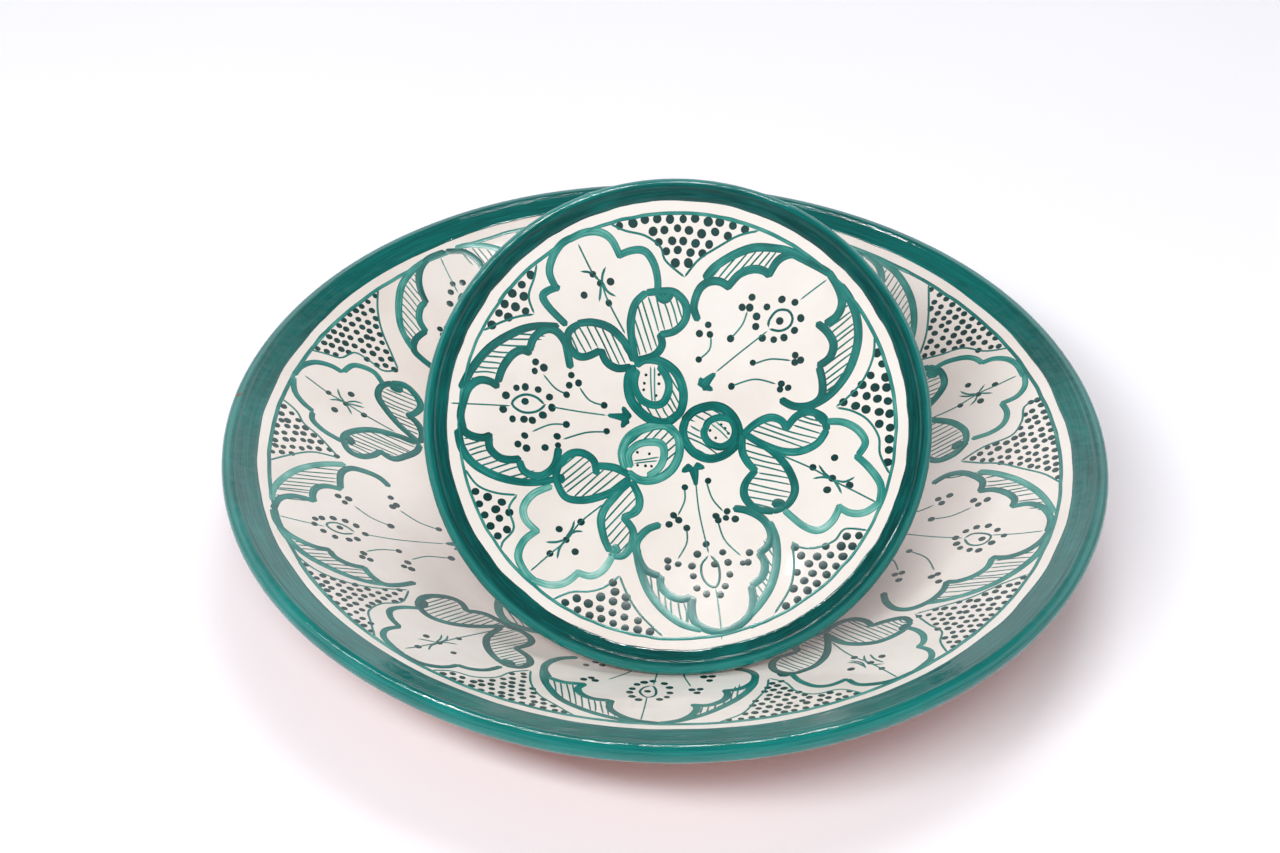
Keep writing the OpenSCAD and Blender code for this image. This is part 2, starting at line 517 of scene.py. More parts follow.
def white_outline(plate, under_rim=2.5):
    """The white coat, which runs on a little way under the rim glaze."""
    edge = plate.shoulder + under_rim
    steps = int(edge / 1.5)
    top = face_line(plate, 0, plate.shoulder, steps)
    rise = under_rim * math.tan(math.radians(BAND_FALL))
    tail = [[edge, plate.shoulder_z + rise - 0.02]]
    below = [[edge, plate.shoulder_z + rise - plate.glaze]]
    return np.concatenate([top, tail, below, face_line(plate, plate.shoulder, 0, steps // 2,
                                                       -plate.glaze)])


def rim_outline(plate, inner_edge, end):
    """The rim glaze from its pooled inner edge, over the lip, to its rolled end."""
    fall = math.tan(math.radians(BAND_FALL))
    thick, roll = 0.14, 0.46     # over the band, and round the lip
    over_from, over_to = 114, end + 14
    start = plate.shoulder + inner_edge
    band_end = plate.lip_r + (plate.lip + roll) * math.cos(math.radians(over_from)) - 0.35
    out = np.linspace(0, band_end - start, 26)
    pool = 0.10 * np.exp(-(out / 1.6 - 0.9)**2)
    lift = thick * np.minimum(1, out / 0.7) ** 0.6 + pool
    base = np.where(out + start < plate.shoulder, plate.face(start + out),
                    plate.shoulder_z + (start + out - plate.shoulder) * fall)
    band = np.c_[start + out, base + lift + 0.01]
    steps = 38
    swell = np.clip((np.linspace(over_from, over_to, steps) + 5) / 45, 0, 1)
    over = arc(plate.lip_r, plate.lip_z, plate.lip + thick + (roll - thick) * swell,
               over_from, over_to, steps)
    roll_r = 0.5 * (plate.glaze + thick) + 0.1
    turn = math.radians(end + 8)
    middle = plate.lip + thick - roll_r + 0.1
    rolled = arc(plate.lip_r + middle * math.cos(turn), plate.lip_z + middle * math.sin(turn),
                 roll_r, end + 8, end - 150, 8)
    inside = arc(plate.lip_r, plate.lip_z, plate.lip - plate.glaze - 0.05, end,
                 90 + BAND_FALL, 18)
    back = [[start + 1.0, plate.face(start) - 0.25], [start, band[0, 1] - 0.08], band[0]]
    return np.concatenate([band, over, rolled, inside, back])


ROUND = {"large": 288, "small": 216}   # faces round each plate
SEEDS = {"large": 3.0, "small": 8.0}
WOBBLE = 0.0022                        # how far from round, as a part of the radius


def turn_piece(outline, far, plate, name, material):
    """Spins an outline into a mesh, swaying between it and its far version."""
    near = np.c_[outline[:, 0], np.zeros(len(outline)), outline[:, 1]] * MM
    far = np.c_[far[:, 0], np.zeros(len(far)), far[:, 1]] * MM
    edges = [(i, i + 1) for i in range(len(near) - 1)]
    mesh = make_mesh(name, near, edges, far=far)
    return run_tree(wheel, mesh, name, around=ROUND[plate.name], wobble=WOBBLE,
                    seed=SEEDS[plate.name], material=material)


# %% [markdown]
# ## Glazes, colour and clay
#
# The white glaze is warm, glassy and faintly mottled. The rim's green is the same
# copper colour as the painting, but poured on thickly, so it is deep, streaky along
# the way it was brushed, darkest where it pooled and thin on the lip, where the red
# clay shows in two small chips. The brush colour depends on how loaded the brush
# was: pale and streaky where thin, darkest along a stroke's edges and in the dots.


# %% Materials
def new_material(name):
    """An empty material and the helper for its nodes."""
    material = bpy.data.materials.new(name)
    material.use_nodes = True
    return material, Graph(material.node_tree)


def end_material(graph, colour, roughness, height=None, bump=0.0001):
    """A Principled surface, with an optional relief whose depth is bump, in metres."""
    inputs = {"Base Color": colour, "Roughness": roughness, "IOR": 1.5}
    if height is not None:
        inputs["Normal"] = graph.add("ShaderNodeBump", {"Height": height, "Strength": 1.0,
                                                        "Distance": bump})
    shader = graph.add("ShaderNodeBsdfPrincipled", inputs)
    graph.add("ShaderNodeOutputMaterial", {0: shader})


def attribute(graph, name, vector=False):
    """What a point of the mesh carries under a name."""
    node = graph.add("ShaderNodeAttribute", attribute_name=name)
    return node.outputs["Vector" if vector else "Fac"]


def wheel_coordinates(graph):
    """A point's place on its plate, its radius, and coordinates that follow the turning."""
    place = attribute(graph, "plate_place", vector=True)
    x, y, z = graph.split(place)
    radius = graph.math("SQRT", graph.math("ADD", graph.math("MULTIPLY", x, x),
                                           graph.math("MULTIPLY", y, y)))
    safe = graph.math("MAXIMUM", radius, 0.001)
    section = graph.math("SUBTRACT", radius, z)
    rolled = graph.xyz(graph.math("DIVIDE", x, safe), graph.math("DIVIDE", y, safe),
                       graph.math("MULTIPLY", section, 60.0))
    return place, radius, rolled


def make_white_glaze():
    """Warm white, faintly mottled, with the low waves of throwing under the gloss."""
    material, graph = new_material("white_glaze")
    place, _, rolled = wheel_coordinates(graph)
    cloud = graph.noise(place, 22.0, 4.0, 0.6)
    colour = ramp(graph, cloud, (0.3, "ded5cd"), (0.5, "e5ded7"), (0.72, "e9e4de"))
    throwing = graph.noise(rolled, 2.2, 2.0)
    slow = graph.noise(place, 38.0, 2.0)
    height = graph.math("ADD", graph.math("MULTIPLY", throwing, 0.6), slow)
    end_material(graph, colour, 0.1, height, bump=0.00035)
    return material


CHIPS = (((-0.1712, 0.0205, 0.0575), 0.0024),    # place on the large plate, size, in metres
         ((0.1735, 0.0060, 0.0560), 0.0018),
         ((-0.150, -0.0790, 0.0588), 0.0012))


def make_rim_green():
    """Deep green on the band, thinner over the lip, with the chips in it."""
    material, graph = new_material("rim_green")
    place, radius, rolled = wheel_coordinates(graph)
    stretched = graph.vector("MULTIPLY", rolled, (2.4, 2.4, 9.0))
    streak = graph.noise(stretched, 3.0, 3.0, 0.6)
    cloud = graph.noise(place, 30.0, 3.0)
    amount = graph.math("ADD", graph.math("MULTIPLY", streak, 0.62),
                        graph.math("MULTIPLY", cloud, 0.38))
    pooled = ramp(graph, amount, (0.3, "04312f"), (0.5, "064845"), (0.72, "0b6560"))
    thin = ramp(graph, amount, (0.3, "0a5c57"), (0.5, "0e736d"), (0.72, "168a83"))
    large_lip, small_lip = (
        graph.ranged(radius, (plate.lip_r - 0.6) * MM, (plate.lip_r + 1.6) * MM, least, 1.0)
        for plate, least in ((large, 0.4), (small, 0.0)))
    is_large = graph.math("GREATER_THAN", radius, (small.radius + 23) * MM)
    thinness = graph.math("ADD", graph.math("MULTIPLY", large_lip, is_large),
                          graph.math("MULTIPLY", small_lip,
                                     graph.math("SUBTRACT", 1.0, is_large)))
    colour = graph.blend(thinness, pooled, thin)
    for chip_place, size in CHIPS:
        away = graph.add("ShaderNodeVectorMath", {0: place, 1: chip_place},
                         operation="DISTANCE").outputs["Value"]
        ragged = graph.math("ADD", away, graph.math("MULTIPLY", cloud, size * 0.9))
        chip = graph.ranged(ragged, size * 1.25, size * 1.0)
        colour = graph.blend(chip, colour, rgb("5c4238"))
    height = graph.math("ADD", graph.math("MULTIPLY", streak, 0.35),
                        graph.noise(place, 160.0, 2.0))
    end_material(graph, colour, 0.07, height, bump=0.00016)
    return material


def make_brush_green():
    """The painter's colour: pale where the brush was dry, darkest at edges and in dots."""
    material, graph = new_material("brush_green")
    load, tone = attribute(graph, "load"), attribute(graph, "tone")
    side, along = attribute(graph, "across"), attribute(graph, "along")
    hairs = graph.xyz(graph.math("MULTIPLY", side, 2.6), graph.math("MULTIPLY", along, 60.0),
                      graph.math("MULTIPLY", tone, 40.0))
    streak = graph.noise(hairs, 1.6, 3.0, 0.6)
    place = graph.add("ShaderNodeTexCoord").outputs["Object"]
    wet = graph.noise(place, 90.0, 2.0)
    edge = graph.ranged(graph.math("ABSOLUTE", side), 0.6, 1.0, 0.0, 0.16)
    amount = graph.math("ADD", graph.math("MULTIPLY", load, 0.67), edge)
    for value, low, high, sway in ((streak, 0.3, 0.7, 0.13), (wet, 0.3, 0.7, 0.10),
                                   (tone, 0.0, 1.0, 0.04)):
        amount = graph.math("ADD", amount, graph.ranged(value, low, high, -sway, sway))
    colour = ramp(graph, amount, (0.0, "b9d6cf"), (0.2, "62a89c"), (0.42, "237e75"),
                  (0.6, "0d655f"), (0.8, "084a46"), (1.0, "0b3432"))
    end_material(graph, colour, 0.22)
    return material


def make_clay(name, light, middle, dark):
    """Bare fired clay: cloudy, with dark specks and a fine grain."""
    material, graph = new_material(name)
    place = graph.add("ShaderNodeTexCoord").outputs["Object"]
    cloud = graph.noise(place, 26.0, 4.0, 0.6)
    grain = graph.noise(place, 900.0, 2.0, 0.7)
    colour = ramp(graph, cloud, (0.3, dark), (0.5, middle), (0.7, light))
    speck = graph.ranged(grain, 0.62, 0.7, 0.0, 0.5)
    colour = graph.blend(speck, colour, rgb("8a4f38"))
    end_material(graph, colour, 0.82, grain, bump=0.00012)
    return material


white_glaze, rim_green, brush_green = make_white_glaze(), make_rim_green(), make_brush_green()
red_clay = make_clay("red_clay", "b8735a", "a76248", "93523a")
prop_clay = make_clay("prop_clay", "cf9a7c", "c08a6b", "ad775a")
print("materials", sorted(m.name for m in bpy.data.materials))

# %% [markdown]
# ## Turning the plates
#
# Each plate is three solids on one body: the clay, its white glaze, and the green
# rim glaze, whose outer edge wanders between two outlines. A copy of the white face
# is kept aside for the painting, which is dropped onto it later.

# %% Turn both plates
body_of = {"large": "large_plate", "small": "small_plate"}
faces = {}
for plate in (large, small):
    head = plate.name + "_plate_"
    outline = clay_outline(plate)
    clay = turn_piece(outline, outline, plate, head + "clay_body", red_clay)
    outline = white_outline(plate)
    white = turn_piece(outline, outline, plate, head + "white_glaze_coat", white_glaze)
    faces[plate.name] = bpy.data.objects.new(head + "face", white.copy())
    rim = turn_piece(rim_outline(plate, -0.35, -58), rim_outline(plate, 0.35, -74), plate,
                     head + "rim_glaze_coat", rim_green)
    body = body_of[plate.name]
    settle(clay, head + "clay_body", plate, body, "red_clay", head + "clay")
    settle(white, head + "white_glaze_coat", plate, body, "white_glaze", head + "white_glaze")
    settle(rim, head + "rim_glaze_coat", plate, body, "rim_green", head + "rim_glaze")

# %% [markdown]
# ## The prop
#
# The small plate leans on a plain clay post, a little wider below than above. Its
# base has to sit on the curved dish and its top has to meet a tipped foot ring, so
# it is neither a cylinder nor a turned form. It is built as columns of points round
# the axis: each column starts in the middle of the base, follows the dish outwards,
# climbs the side with its faint grooves, and runs in over the slanting top. Joining
# each column to the next closes the solid.


# %% The prop
PROP_AXIS, PROP_RADIUS = Vector((4, 0, 0)), 27
PROP_TAPER = -18 / 145      # change of radius with height
TOP_GAP, BASE_GAP = 0.4, 0.35
BEVEL = 1.6
GROOVE = 0.11               # half the depth of the grooves


def prop_column(way, top, foot, normal):
    """The points from the middle of the base, up one side, to the middle of the top."""
    column = []
    for part in (0.02, 0.5, 0.94):
        p = PROP_AXIS + way * PROP_RADIUS * part
        column.append(p + Vector((0, 0, large.face(p.xy.length) + BASE_GAP)))
    start = PROP_AXIS + way * PROP_RADIUS
    low = large.face((PROP_AXIS + way * (PROP_RADIUS - BEVEL)).xy.length) + BEVEL
    high = (-TOP_GAP - (start - foot).dot(normal)) / (way.dot(normal) * PROP_TAPER + normal.z)
    for z in np.linspace(low, high - 1.5, 40):
        radius = PROP_RADIUS + PROP_TAPER * z - GROOVE * (1 - math.cos(z * 1.1)) - 0.05
        column.append(PROP_AXIS + way * radius + Vector((0, 0, z)))
    edge = start + way * PROP_TAPER * high + Vector((0, 0, high))
    inward = (top - edge).normalized()
    return column + [edge + inward * 0.5 - normal * 0.5, edge + inward * BEVEL,
                     edge.lerp(top, 0.5), edge.lerp(top, 0.98)]


def make_prop(around=96):
    """A tapering clay post: its base follows the large face, its top the small foot."""
    foot, normal = SMALL_FOOT / MM, displayed["small"].col[2].to_3d()
    rise = ((foot - PROP_AXIS).dot(normal) - foot.z * normal.z - TOP_GAP) / normal.z
    top = PROP_AXIS + Vector((0, 0, foot.z + rise))
    angles = [math.tau * i / around for i in range(around)]
    columns = [prop_column(Vector((math.cos(t), math.sin(t), 0)), top, foot, normal)
               for t in angles]
    rows = len(columns[0])
    vertices = [p * MM for column in columns for p in column]
    faces = []
    for i in range(around):
        j = (i + 1) % around
        faces += [(i * rows + k, j * rows + k, j * rows + k + 1, i * rows + k + 1)
                  for k in range(rows - 1)]
    faces += [tuple(i * rows + end for i in range(around)) for end in (0, rows - 1)]
    mesh = make_mesh("prop_post", vertices, faces=faces)
    outward(mesh)
    mesh.shade_smooth()
    mesh.materials.append(prop_clay)
    post = bpy.data.objects.new("prop_post", mesh)
    bpy.context.scene.collection.objects.link(post)
    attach(post, "prop")
    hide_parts("display_prop")
    print("prop height %.1f mm" % (max(v.z for v in vertices) / MM))


make_prop()

# %% [markdown]
# ## The brush
#
# The painter loads a soft brush with copper green and lays the pattern in broad
# strokes, then draws the fine lines and stipples the dots. A stroke is a path with a
# width, so Geometry Nodes follow it: the path is smoothed and resampled, a flat
# lens-shaped section is swept along it with rounded ends, and the whole is dropped
# straight down onto the glazed face. Under each stroke the section goes a little
# into the glaze, so that every stroke is a closed solid of raised colour.


# %% Trees for strokes and dots
SINK = 0.00006        # how far a stroke's base goes into the glaze, in metres
SHARP_FOLD = 1.2      # edges folded more than this stay crisp, in radians


def lay_on_face(graph, mesh, face, bulge, lift):
    """Drops a flat mesh onto the face, raising its top by lift and sinking its base."""
    x, y, _ = graph.split(graph.add("GeometryNodeInputPosition").outputs[0])
    ground = graph.add("GeometryNodeObjectInfo", {"Object": face}).outputs["Geometry"]
    ray = graph.add("GeometryNodeRaycast", {
        "Target Geometry": ground, "Source Position": graph.xyz(x, y, 1.0),
        "Ray Direction": (0, 0, -1), "Ray Length": 2.0})
    hit = graph.split(ray.outputs["Hit Position"])[2]
    raised = graph.math("MULTIPLY", graph.math("MAXIMUM", bulge, 0.0), lift)
    sunk = graph.math("MULTIPLY", graph.math("MINIMUM", bulge, 0.0), SINK)
    height = graph.math("ADD", hit, graph.math("ADD", raised, sunk))
    laid = graph.add("GeometryNodeSetPosition", {0: mesh, "Position": graph.xyz(x, y, height)})
    welded = graph.add("GeometryNodeMergeByDistance", {0: laid, "Distance": 4e-6})
    fold = graph.add("GeometryNodeInputMeshEdgeAngle").outputs[0]
    sharp = graph.math("GREATER_THAN", fold, SHARP_FOLD)
    smooth = graph.add("GeometryNodeSetShadeSmooth", {0: welded, "Shade Smooth": True})
    return graph.add("GeometryNodeSetShadeSmooth", {0: smooth, "Selection": sharp,
                     "Shade Smooth": False}, domain="EDGE").outputs[0]


def store(graph, geometry, name, value):
    return graph.add("GeometryNodeStoreNamedAttribute", {0: geometry, "Name": name,
                     "Value": value}, data_type="FLOAT", domain="POINT").outputs[0]


def stroke_tree():
    """Sweeps a lens-shaped section along each path, rounds its ends and lays it down."""
    graph, given = tree_with("brush_strokes", [
        ("Face", "Object"), ("Step", "Float"), ("Material", "Material")])
    path = graph.add("GeometryNodeMeshToCurve", {0: given["Mesh"]})
    path = graph.add("GeometryNodeCurveSplineType", {0: path}, spline_type="CATMULL_ROM")
    path = graph.add("GeometryNodeResampleCurve", {0: path, "Length": given["Step"]},
                     mode="LENGTH")
    path = graph.add("GeometryNodeSetCurveNormal", {0: path}, mode="Z_UP")
    along = graph.add("GeometryNodeSplineParameter").outputs["Length"]
    whole = graph.add("GeometryNodeSplineLength").outputs["Length"]
    path = store(graph, path, "along", along)
    to_end = graph.math("MINIMUM", along, graph.math("SUBTRACT", whole, along))
    half = graph.math("MULTIPLY", named(graph, "width"), 0.5)
    inside = graph.math("SUBTRACT", 1.0, graph.math("DIVIDE", to_end, half), clamp=True)
    cap = graph.math("SQRT", graph.math("SUBTRACT", 1.0,
                                        graph.math("MULTIPLY", inside, inside)))
    radius = graph.math("MULTIPLY", half, cap)
    path = store(graph, path, "radius_here", radius)
    section = graph.add("GeometryNodeCurvePrimitiveCircle", {"Resolution": 8, "Radius": 1.0})
    side = graph.split(graph.add("GeometryNodeInputPosition").outputs[0])[0]
    section = store(graph, section, "across", side)
    swept = graph.add("GeometryNodeCurveToMesh", {"Curve": path, "Profile Curve": section,
                      "Scale": named(graph, "radius_here"), "Fill Caps": False})
    z = graph.split(graph.add("GeometryNodeInputPosition").outputs[0])[2]
    bulge = graph.math("DIVIDE", z, named(graph, "radius_here"))
    mesh = store(graph, swept, "bulge", bulge)
    mesh = lay_on_face(graph, mesh, given["Face"], named(graph, "bulge"), named(graph, "lift"))
    return end_tree(graph, mesh, given["Material"])


def dot_tree():
    """Puts a flattened dab at each point, each a little off round, and lays it down."""
    graph, given = tree_with("brush_dots", [
        ("Face", "Object"), ("Seed", "Int"), ("Material", "Material")])
    dab = graph.add("GeometryNodeMeshUVSphere", {"Segments": 12, "Rings": 4, "Radius": 0.5})
    x, y, z = graph.split(graph.add("GeometryNodeInputPosition").outputs[0])
    out = graph.math("MULTIPLY", graph.math("SQRT", graph.math(
        "ADD", graph.math("MULTIPLY", x, x), graph.math("MULTIPLY", y, y))), 2.0)
    dab = store(graph, dab, "across", out)
    dab = store(graph, dab, "bulge", graph.math("MULTIPLY", z, 2.0))

    def random_between(low, high, shift):
        node = graph.add("FunctionNodeRandomValue", {
            2: low, 3: high, "Seed": graph.math("ADD", given["Seed"], shift)})
        return node.outputs[1]

    size = named(graph, "width")
    wide = graph.math("MULTIPLY", size, random_between(0.94, 1.07, 0.0))
    long = graph.math("MULTIPLY", size, random_between(0.94, 1.07, 1.0))
    spin = graph.add("FunctionNodeEulerToRotation", {
        0: graph.xyz(0.0, 0.0, random_between(0.0, 6.28, 2.0))})
    dots = graph.add("GeometryNodeInstanceOnPoints", {
        "Points": graph.add("GeometryNodeMeshToPoints", {0: given["Mesh"]}),
        "Instance": dab, "Rotation": spin, "Scale": graph.xyz(wide, long, 0.001)})
    real = graph.add("GeometryNodeRealizeInstances", {0: dots})
    mesh = lay_on_face(graph, real, given["Face"], named(graph, "bulge"), named(graph, "lift"))
    return end_tree(graph, mesh, given["Material"])


strokes_by_nodes, dots_by_nodes = stroke_tree(), dot_tree()
for tree in (strokes_by_nodes, dots_by_nodes):
    print("tree", tree.name, "with", len(tree.nodes), "nodes")

# %% [markdown]
# ## What the painter does
#
# A painting collects strokes and dots on the flat plan of its plate, in millimetres,
# under the name of the motif that they belong to. Each stroke gets its own tone and
# a hair more height than the one before, because the painter lays it over the last.
# Hatching fills a shape with parallel lines that stop short of its outline by a
# different amount each time, as a hand does.


# %% Painting class
def smooth_path(points, pieces=6):
    """Points of a Catmull-Rom curve through the given ones."""
    p = np.asarray(points, dtype=float)
    if len(p) < 3:
        return p
    p = np.vstack([2 * p[0] - p[1], p, 2 * p[-1] - p[-2]])
    t = np.linspace(0, 1, pieces, endpoint=False)[:, None]
    parts = []
    for a, b, c, d in zip(p, p[1:], p[2:], p[3:]):
        parts.append(0.5 * (2 * b + (c - a) * t + (2 * a - 5 * b + 4 * c - d) * t**2
                            + (3 * b - a - 3 * c + d) * t**3))
    return np.vstack(parts + [p[-2:-1]])


def crossings(shape, direction, level):
    """Where a line at a given level across a direction meets a closed shape."""
    along = np.array([math.cos(direction), math.sin(direction)])
    normal = np.array([-along[1], along[0]])
    height, reach = shape @ normal - level, shape @ along
    marks = []
    for i in range(len(shape)):
        a, b = height[i - 1], height[i]
        if (a < 0) != (b < 0):
            marks.append(reach[i - 1] + (reach[i] - reach[i - 1]) * a / (a - b))
    return [(m * along + level * normal) for m in sorted(marks)]


def inside(shape, point):
    """Whether a point lies in a closed shape."""
    x, y = point
    odd = False
    for (x0, y0), (x1, y1) in zip(shape, np.roll(shape, -1, axis=0)):
        if (y0 > y) != (y1 > y) and x < x0 + (x1 - x0) * (y - y0) / (y1 - y0):
            odd = not odd
    return odd


def lengthened(points, extra):
    """The points with both ends moved outwards along the path by extra."""
    p = [np.array(point, dtype=float) for point in points]
    for end, before in ((0, 1), (-1, -2)):
        way = p[end] - p[before]
        p[end] = p[end] + way / np.linalg.norm(way) * extra
    return [tuple(point) for point in p]


LAYER = 0.0003     # how much higher each stroke lies than the one before it
DOT_LIFT = 0.035
FULL_LOAD = 1.5    # dots are a full drop of colour, darker than any stroke


class Painting:
    """The strokes and dots of one plate, in millimetres on its flat plan."""

    def __init__(self, plate, seed):
        self.plate, self.hand = plate, random.Random(seed)
        self.strokes, self.dabs, self.count = {}, [], 0

    def stroke(self, motif, points, width=3.0, load=0.8, lift=0.045, shake=0.12, extend=0.0):
        """One brush stroke through points; width and load may change along it."""
        if extend:
            points = lengthened(points, extend)
        points = [(x + self.hand.gauss(0, shake), y + self.hand.gauss(0, shake))
                  for x, y in points]
        place = np.linspace(0, 1, len(points))
        self.count += 1
        widths, loads = (np.interp(place, np.linspace(0, 1, np.size(v)), np.atleast_1d(v))
                         for v in (width, load))
        lift += LAYER * (self.count % 40)
        tone = self.hand.random()
        self.strokes.setdefault(motif, []).append((points, widths, loads, lift, tone))

    def line(self, *points, width=0.9, load=0.85):
        """One line drawn with the tip of the brush."""
        self.stroke("fine_lines", points, width, load, lift=0.03, shake=0.08)

    def dots(self, points, size=2.9, shake=0.25):
        """One dot at each point, each a little off in place and size."""
        for x, y in points:
            place = x + self.hand.gauss(0, shake), y + self.hand.gauss(0, shake)
            scale = size * self.hand.uniform(0.9, 1.1)
            self.dabs.append((place, scale, self.hand.random()))

    def hatch(self, sides, degrees, spacing=2.3, width=0.66, short=0.9, gap=0.3):
        """Parallel lines inside the closed shape that the sides make."""
        shape = np.vstack([smooth_path(side) for side in sides])
        centre = shape.mean(axis=0)
        shape = shape - centre
        direction = math.radians(degrees)
        levels = shape @ np.array([-math.sin(direction), math.cos(direction)])
        level = levels.min() + spacing * self.hand.uniform(0.6, 1.0)
        while level < levels.max() - 0.4 * spacing:
            tilt = direction + math.radians(self.hand.gauss(0, 1.5))
            marks = crossings(shape, tilt, level)
            for a, b in zip(marks[::2], marks[1::2]):
                a, b = a + centre, b + centre
                size = np.linalg.norm(b - a)
                if size > 2.6:
                    cut = (b - a) / size
                    a = a + cut * self.hand.uniform(gap, gap + short)
                    b = b - cut * self.hand.uniform(gap, gap + short)
                    bend = (a + b) / 2 + self.hand.gauss(0, 0.2)
                    self.line(a, bend, b, width=(width, width * 1.05, width * 0.8))
            level += spacing * self.hand.uniform(0.88, 1.12)

    def dot_field(self, start, end, spacing=4.9, size=3.35):
        """Rows of dots between the ring line and two thin lines that meet at an apex."""
        self.line(*start, load=0.75)
        self.line(*end, load=0.75)
        a, b = (math.atan2(p[1], p[0]) for p in (end[-1], start[0]))
        turn = (b - a + math.pi) % math.tau - math.pi
        edge = self.plate.line - 0.6
        ring = [(edge * math.cos(a + turn * t), edge * math.sin(a + turn * t))
                for t in np.linspace(0, 1, 12)]
        shape = np.vstack([smooth_path(start), smooth_path(end), ring])
        shape = shape.mean(axis=0) + 1.04 * (shape - shape.mean(axis=0))
        radius, row = self.plate.line - 0.42 * spacing, 0
        quarters = [0.16 * size * np.array([math.cos(t), math.sin(t)])
                    for t in (0, 1.57, 3.14, 4.71)]
        while radius > 20:
            step = spacing / radius
            first = a - abs(turn) + step * (0.5 * (row % 2) + self.hand.uniform(-0.1, 0.1))
            for i in range(int(3 * abs(turn) / step) + 2):
                angle = first + i * step
                place = np.array([radius * math.cos(angle), radius * math.sin(angle)])
                if all(inside(shape, place + quarter) for quarter in quarters):
                    self.dots([place], size, shake=0.3)
            radius, row = radius - 0.83 * spacing, row + 1

    def finish(self, material, face, step):
        """Makes one riding piece of each motif."""
        head, body = self.plate.name + "_plate_", body_of[self.plate.name]
        for motif, strokes in self.strokes.items():
            vertices, edges, values = [], [], {"width": [], "load": [], "lift": [], "tone": []}
            for points, widths, loads, lift, tone in strokes:
                first = len(vertices)
                vertices += [(x * MM, y * MM, 0) for x, y in points]
                edges += [(i, i + 1) for i in range(first, len(vertices) - 1)]
                values["width"] += list(widths * MM)
                values["load"] += list(loads)
                values["lift"] += [lift * MM] * len(points)
                values["tone"] += [tone] * len(points)
            mesh = make_mesh(motif, vertices, edges, **values)
            fine = 1.6 if motif == "fine_lines" else 1.0
            mesh = run_tree(strokes_by_nodes, mesh, head + motif, face=face,
                            step=step * fine * MM, material=material)
            settle(mesh, head + motif, self.plate, body, "brush_green",
                   *([head + "ring_line"] if motif == "ring_line_strokes" else []))
        places, sizes, tones = zip(*self.dabs)
        mesh = make_mesh("dots", [(x * MM, y * MM, 0) for x, y in places],
                         width=[s * MM for s in sizes], tone=tones,
                         load=[FULL_LOAD] * len(places), lift=[DOT_LIFT * MM] * len(places))
        mesh = run_tree(dots_by_nodes, mesh, head + "dots", face=face, seed=7,
                        material=material)
        settle(mesh, head + "dots", self.plate, body, "brush_green")


# %% [markdown]
# ## Motifs
#
# The pattern is built from five motifs. A palmette is a lobed flower with two broad
# arcs round it and hatching between. Its heart is an eye in a ring of dots, with an
# axis and berries on stalks. A smaller palmette has only lobes, a crossed heart and
# five dots. Pairs of hatched leaves carry the small palmettes, and each pair grows
# from a round bud near the middle. Dots fill what is left up to the ring line.


# %% Motif functions
def palmette(paint, lobes, arcs, crescents, load=0.85, width=3.2):
    """Lobes and outer arcs, and hatching between the listed ones at an angle."""
    for arc_points, arc_load in arcs:
        paint.stroke("palmettes", arc_points, (width, width * 1.05, width * 0.8), arc_load)
    for i, lobe in enumerate(lobes):
        deep = load * paint.hand.uniform(0.88, 1.1)
        paint.stroke("palmettes", lobe, (width * 0.92, width * 1.02, width * 0.95),
                     (deep, deep * 0.92, deep * 1.1), lift=0.05, extend=0.8)
    for which, arc_index, degrees in crescents:
        outer = arcs[arc_index][0]
        inner = [p for i in which for p in lobes[i]]
        if math.dist(inner[-1], outer[0]) > math.dist(inner[-1], outer[-1]):
            outer = outer[::-1]
        paint.hatch([smooth_path(inner), smooth_path(outer)], degrees)


def heart(paint, eye, pupil, ring, axes, arrow, size=2.9):
    """The eye of a palmette, its ring of dots, its axis and arrowhead."""
    paint.line(*eye, width=1.0, load=0.95)
    paint.dots([pupil], size * 0.95)
    paint.dots(ring, size)
    for axis in axes:
        paint.line(*axis, width=0.6, load=0.75)
    for barb in arrow:
        paint.stroke("palmettes", barb, (1.3, 2.9, 4.4), 0.95, shake=0.05)


def stalks(paint, stems, size=2.8):
    """Berries on stalks: each stem runs from its foot to a cluster of three."""
    for path, berries in stems:
        paint.line(*path, width=0.68, load=0.8)
        paint.dots([path[0]], size)
        paint.dots(berries, size)


def crossed_heart(paint, axis, hairs, dots, hair_width, size):
    """The heart of a small palmette: an axis, short hairs across it and five dots."""
    paint.line(*axis, width=0.7, load=0.8)
    for hair in hairs:
        paint.line(*hair, width=hair_width)
    paint.dots(dots, size)


def small_palmette(paint, lobes, axis, hairs, dots, load):
    """A small palmette of the small plate: lobes in a wavering load, and its heart."""
    for lobe in lobes:
        deep = load * paint.hand.uniform(0.85, 1.15)
        paint.stroke("palmettes", lobe, (2.7, 3.1, 2.7), (deep * 1.1, deep * 0.9, deep * 1.1),
                     extend=1.5)
    crossed_heart(paint, axis, hairs, dots, (0.7, 1.0, 0.8), 2.9)


def leaf(paint, sides, degrees, blob, load=0.85, width=3.1, spacing=2.4):
    """A notched leaf with its hatching and the blot where the brush turned."""
    for side in sides:
        paint.stroke("leaves", side, (width * 0.9, width * 1.05, width * 0.9),
                     load * paint.hand.uniform(0.92, 1.08), lift=0.05, extend=0.8)
    paint.hatch(sides, degrees, spacing)
    paint.stroke("leaves", blob, (3.4, 4.0, 2.6), load * 1.1, lift=0.058)


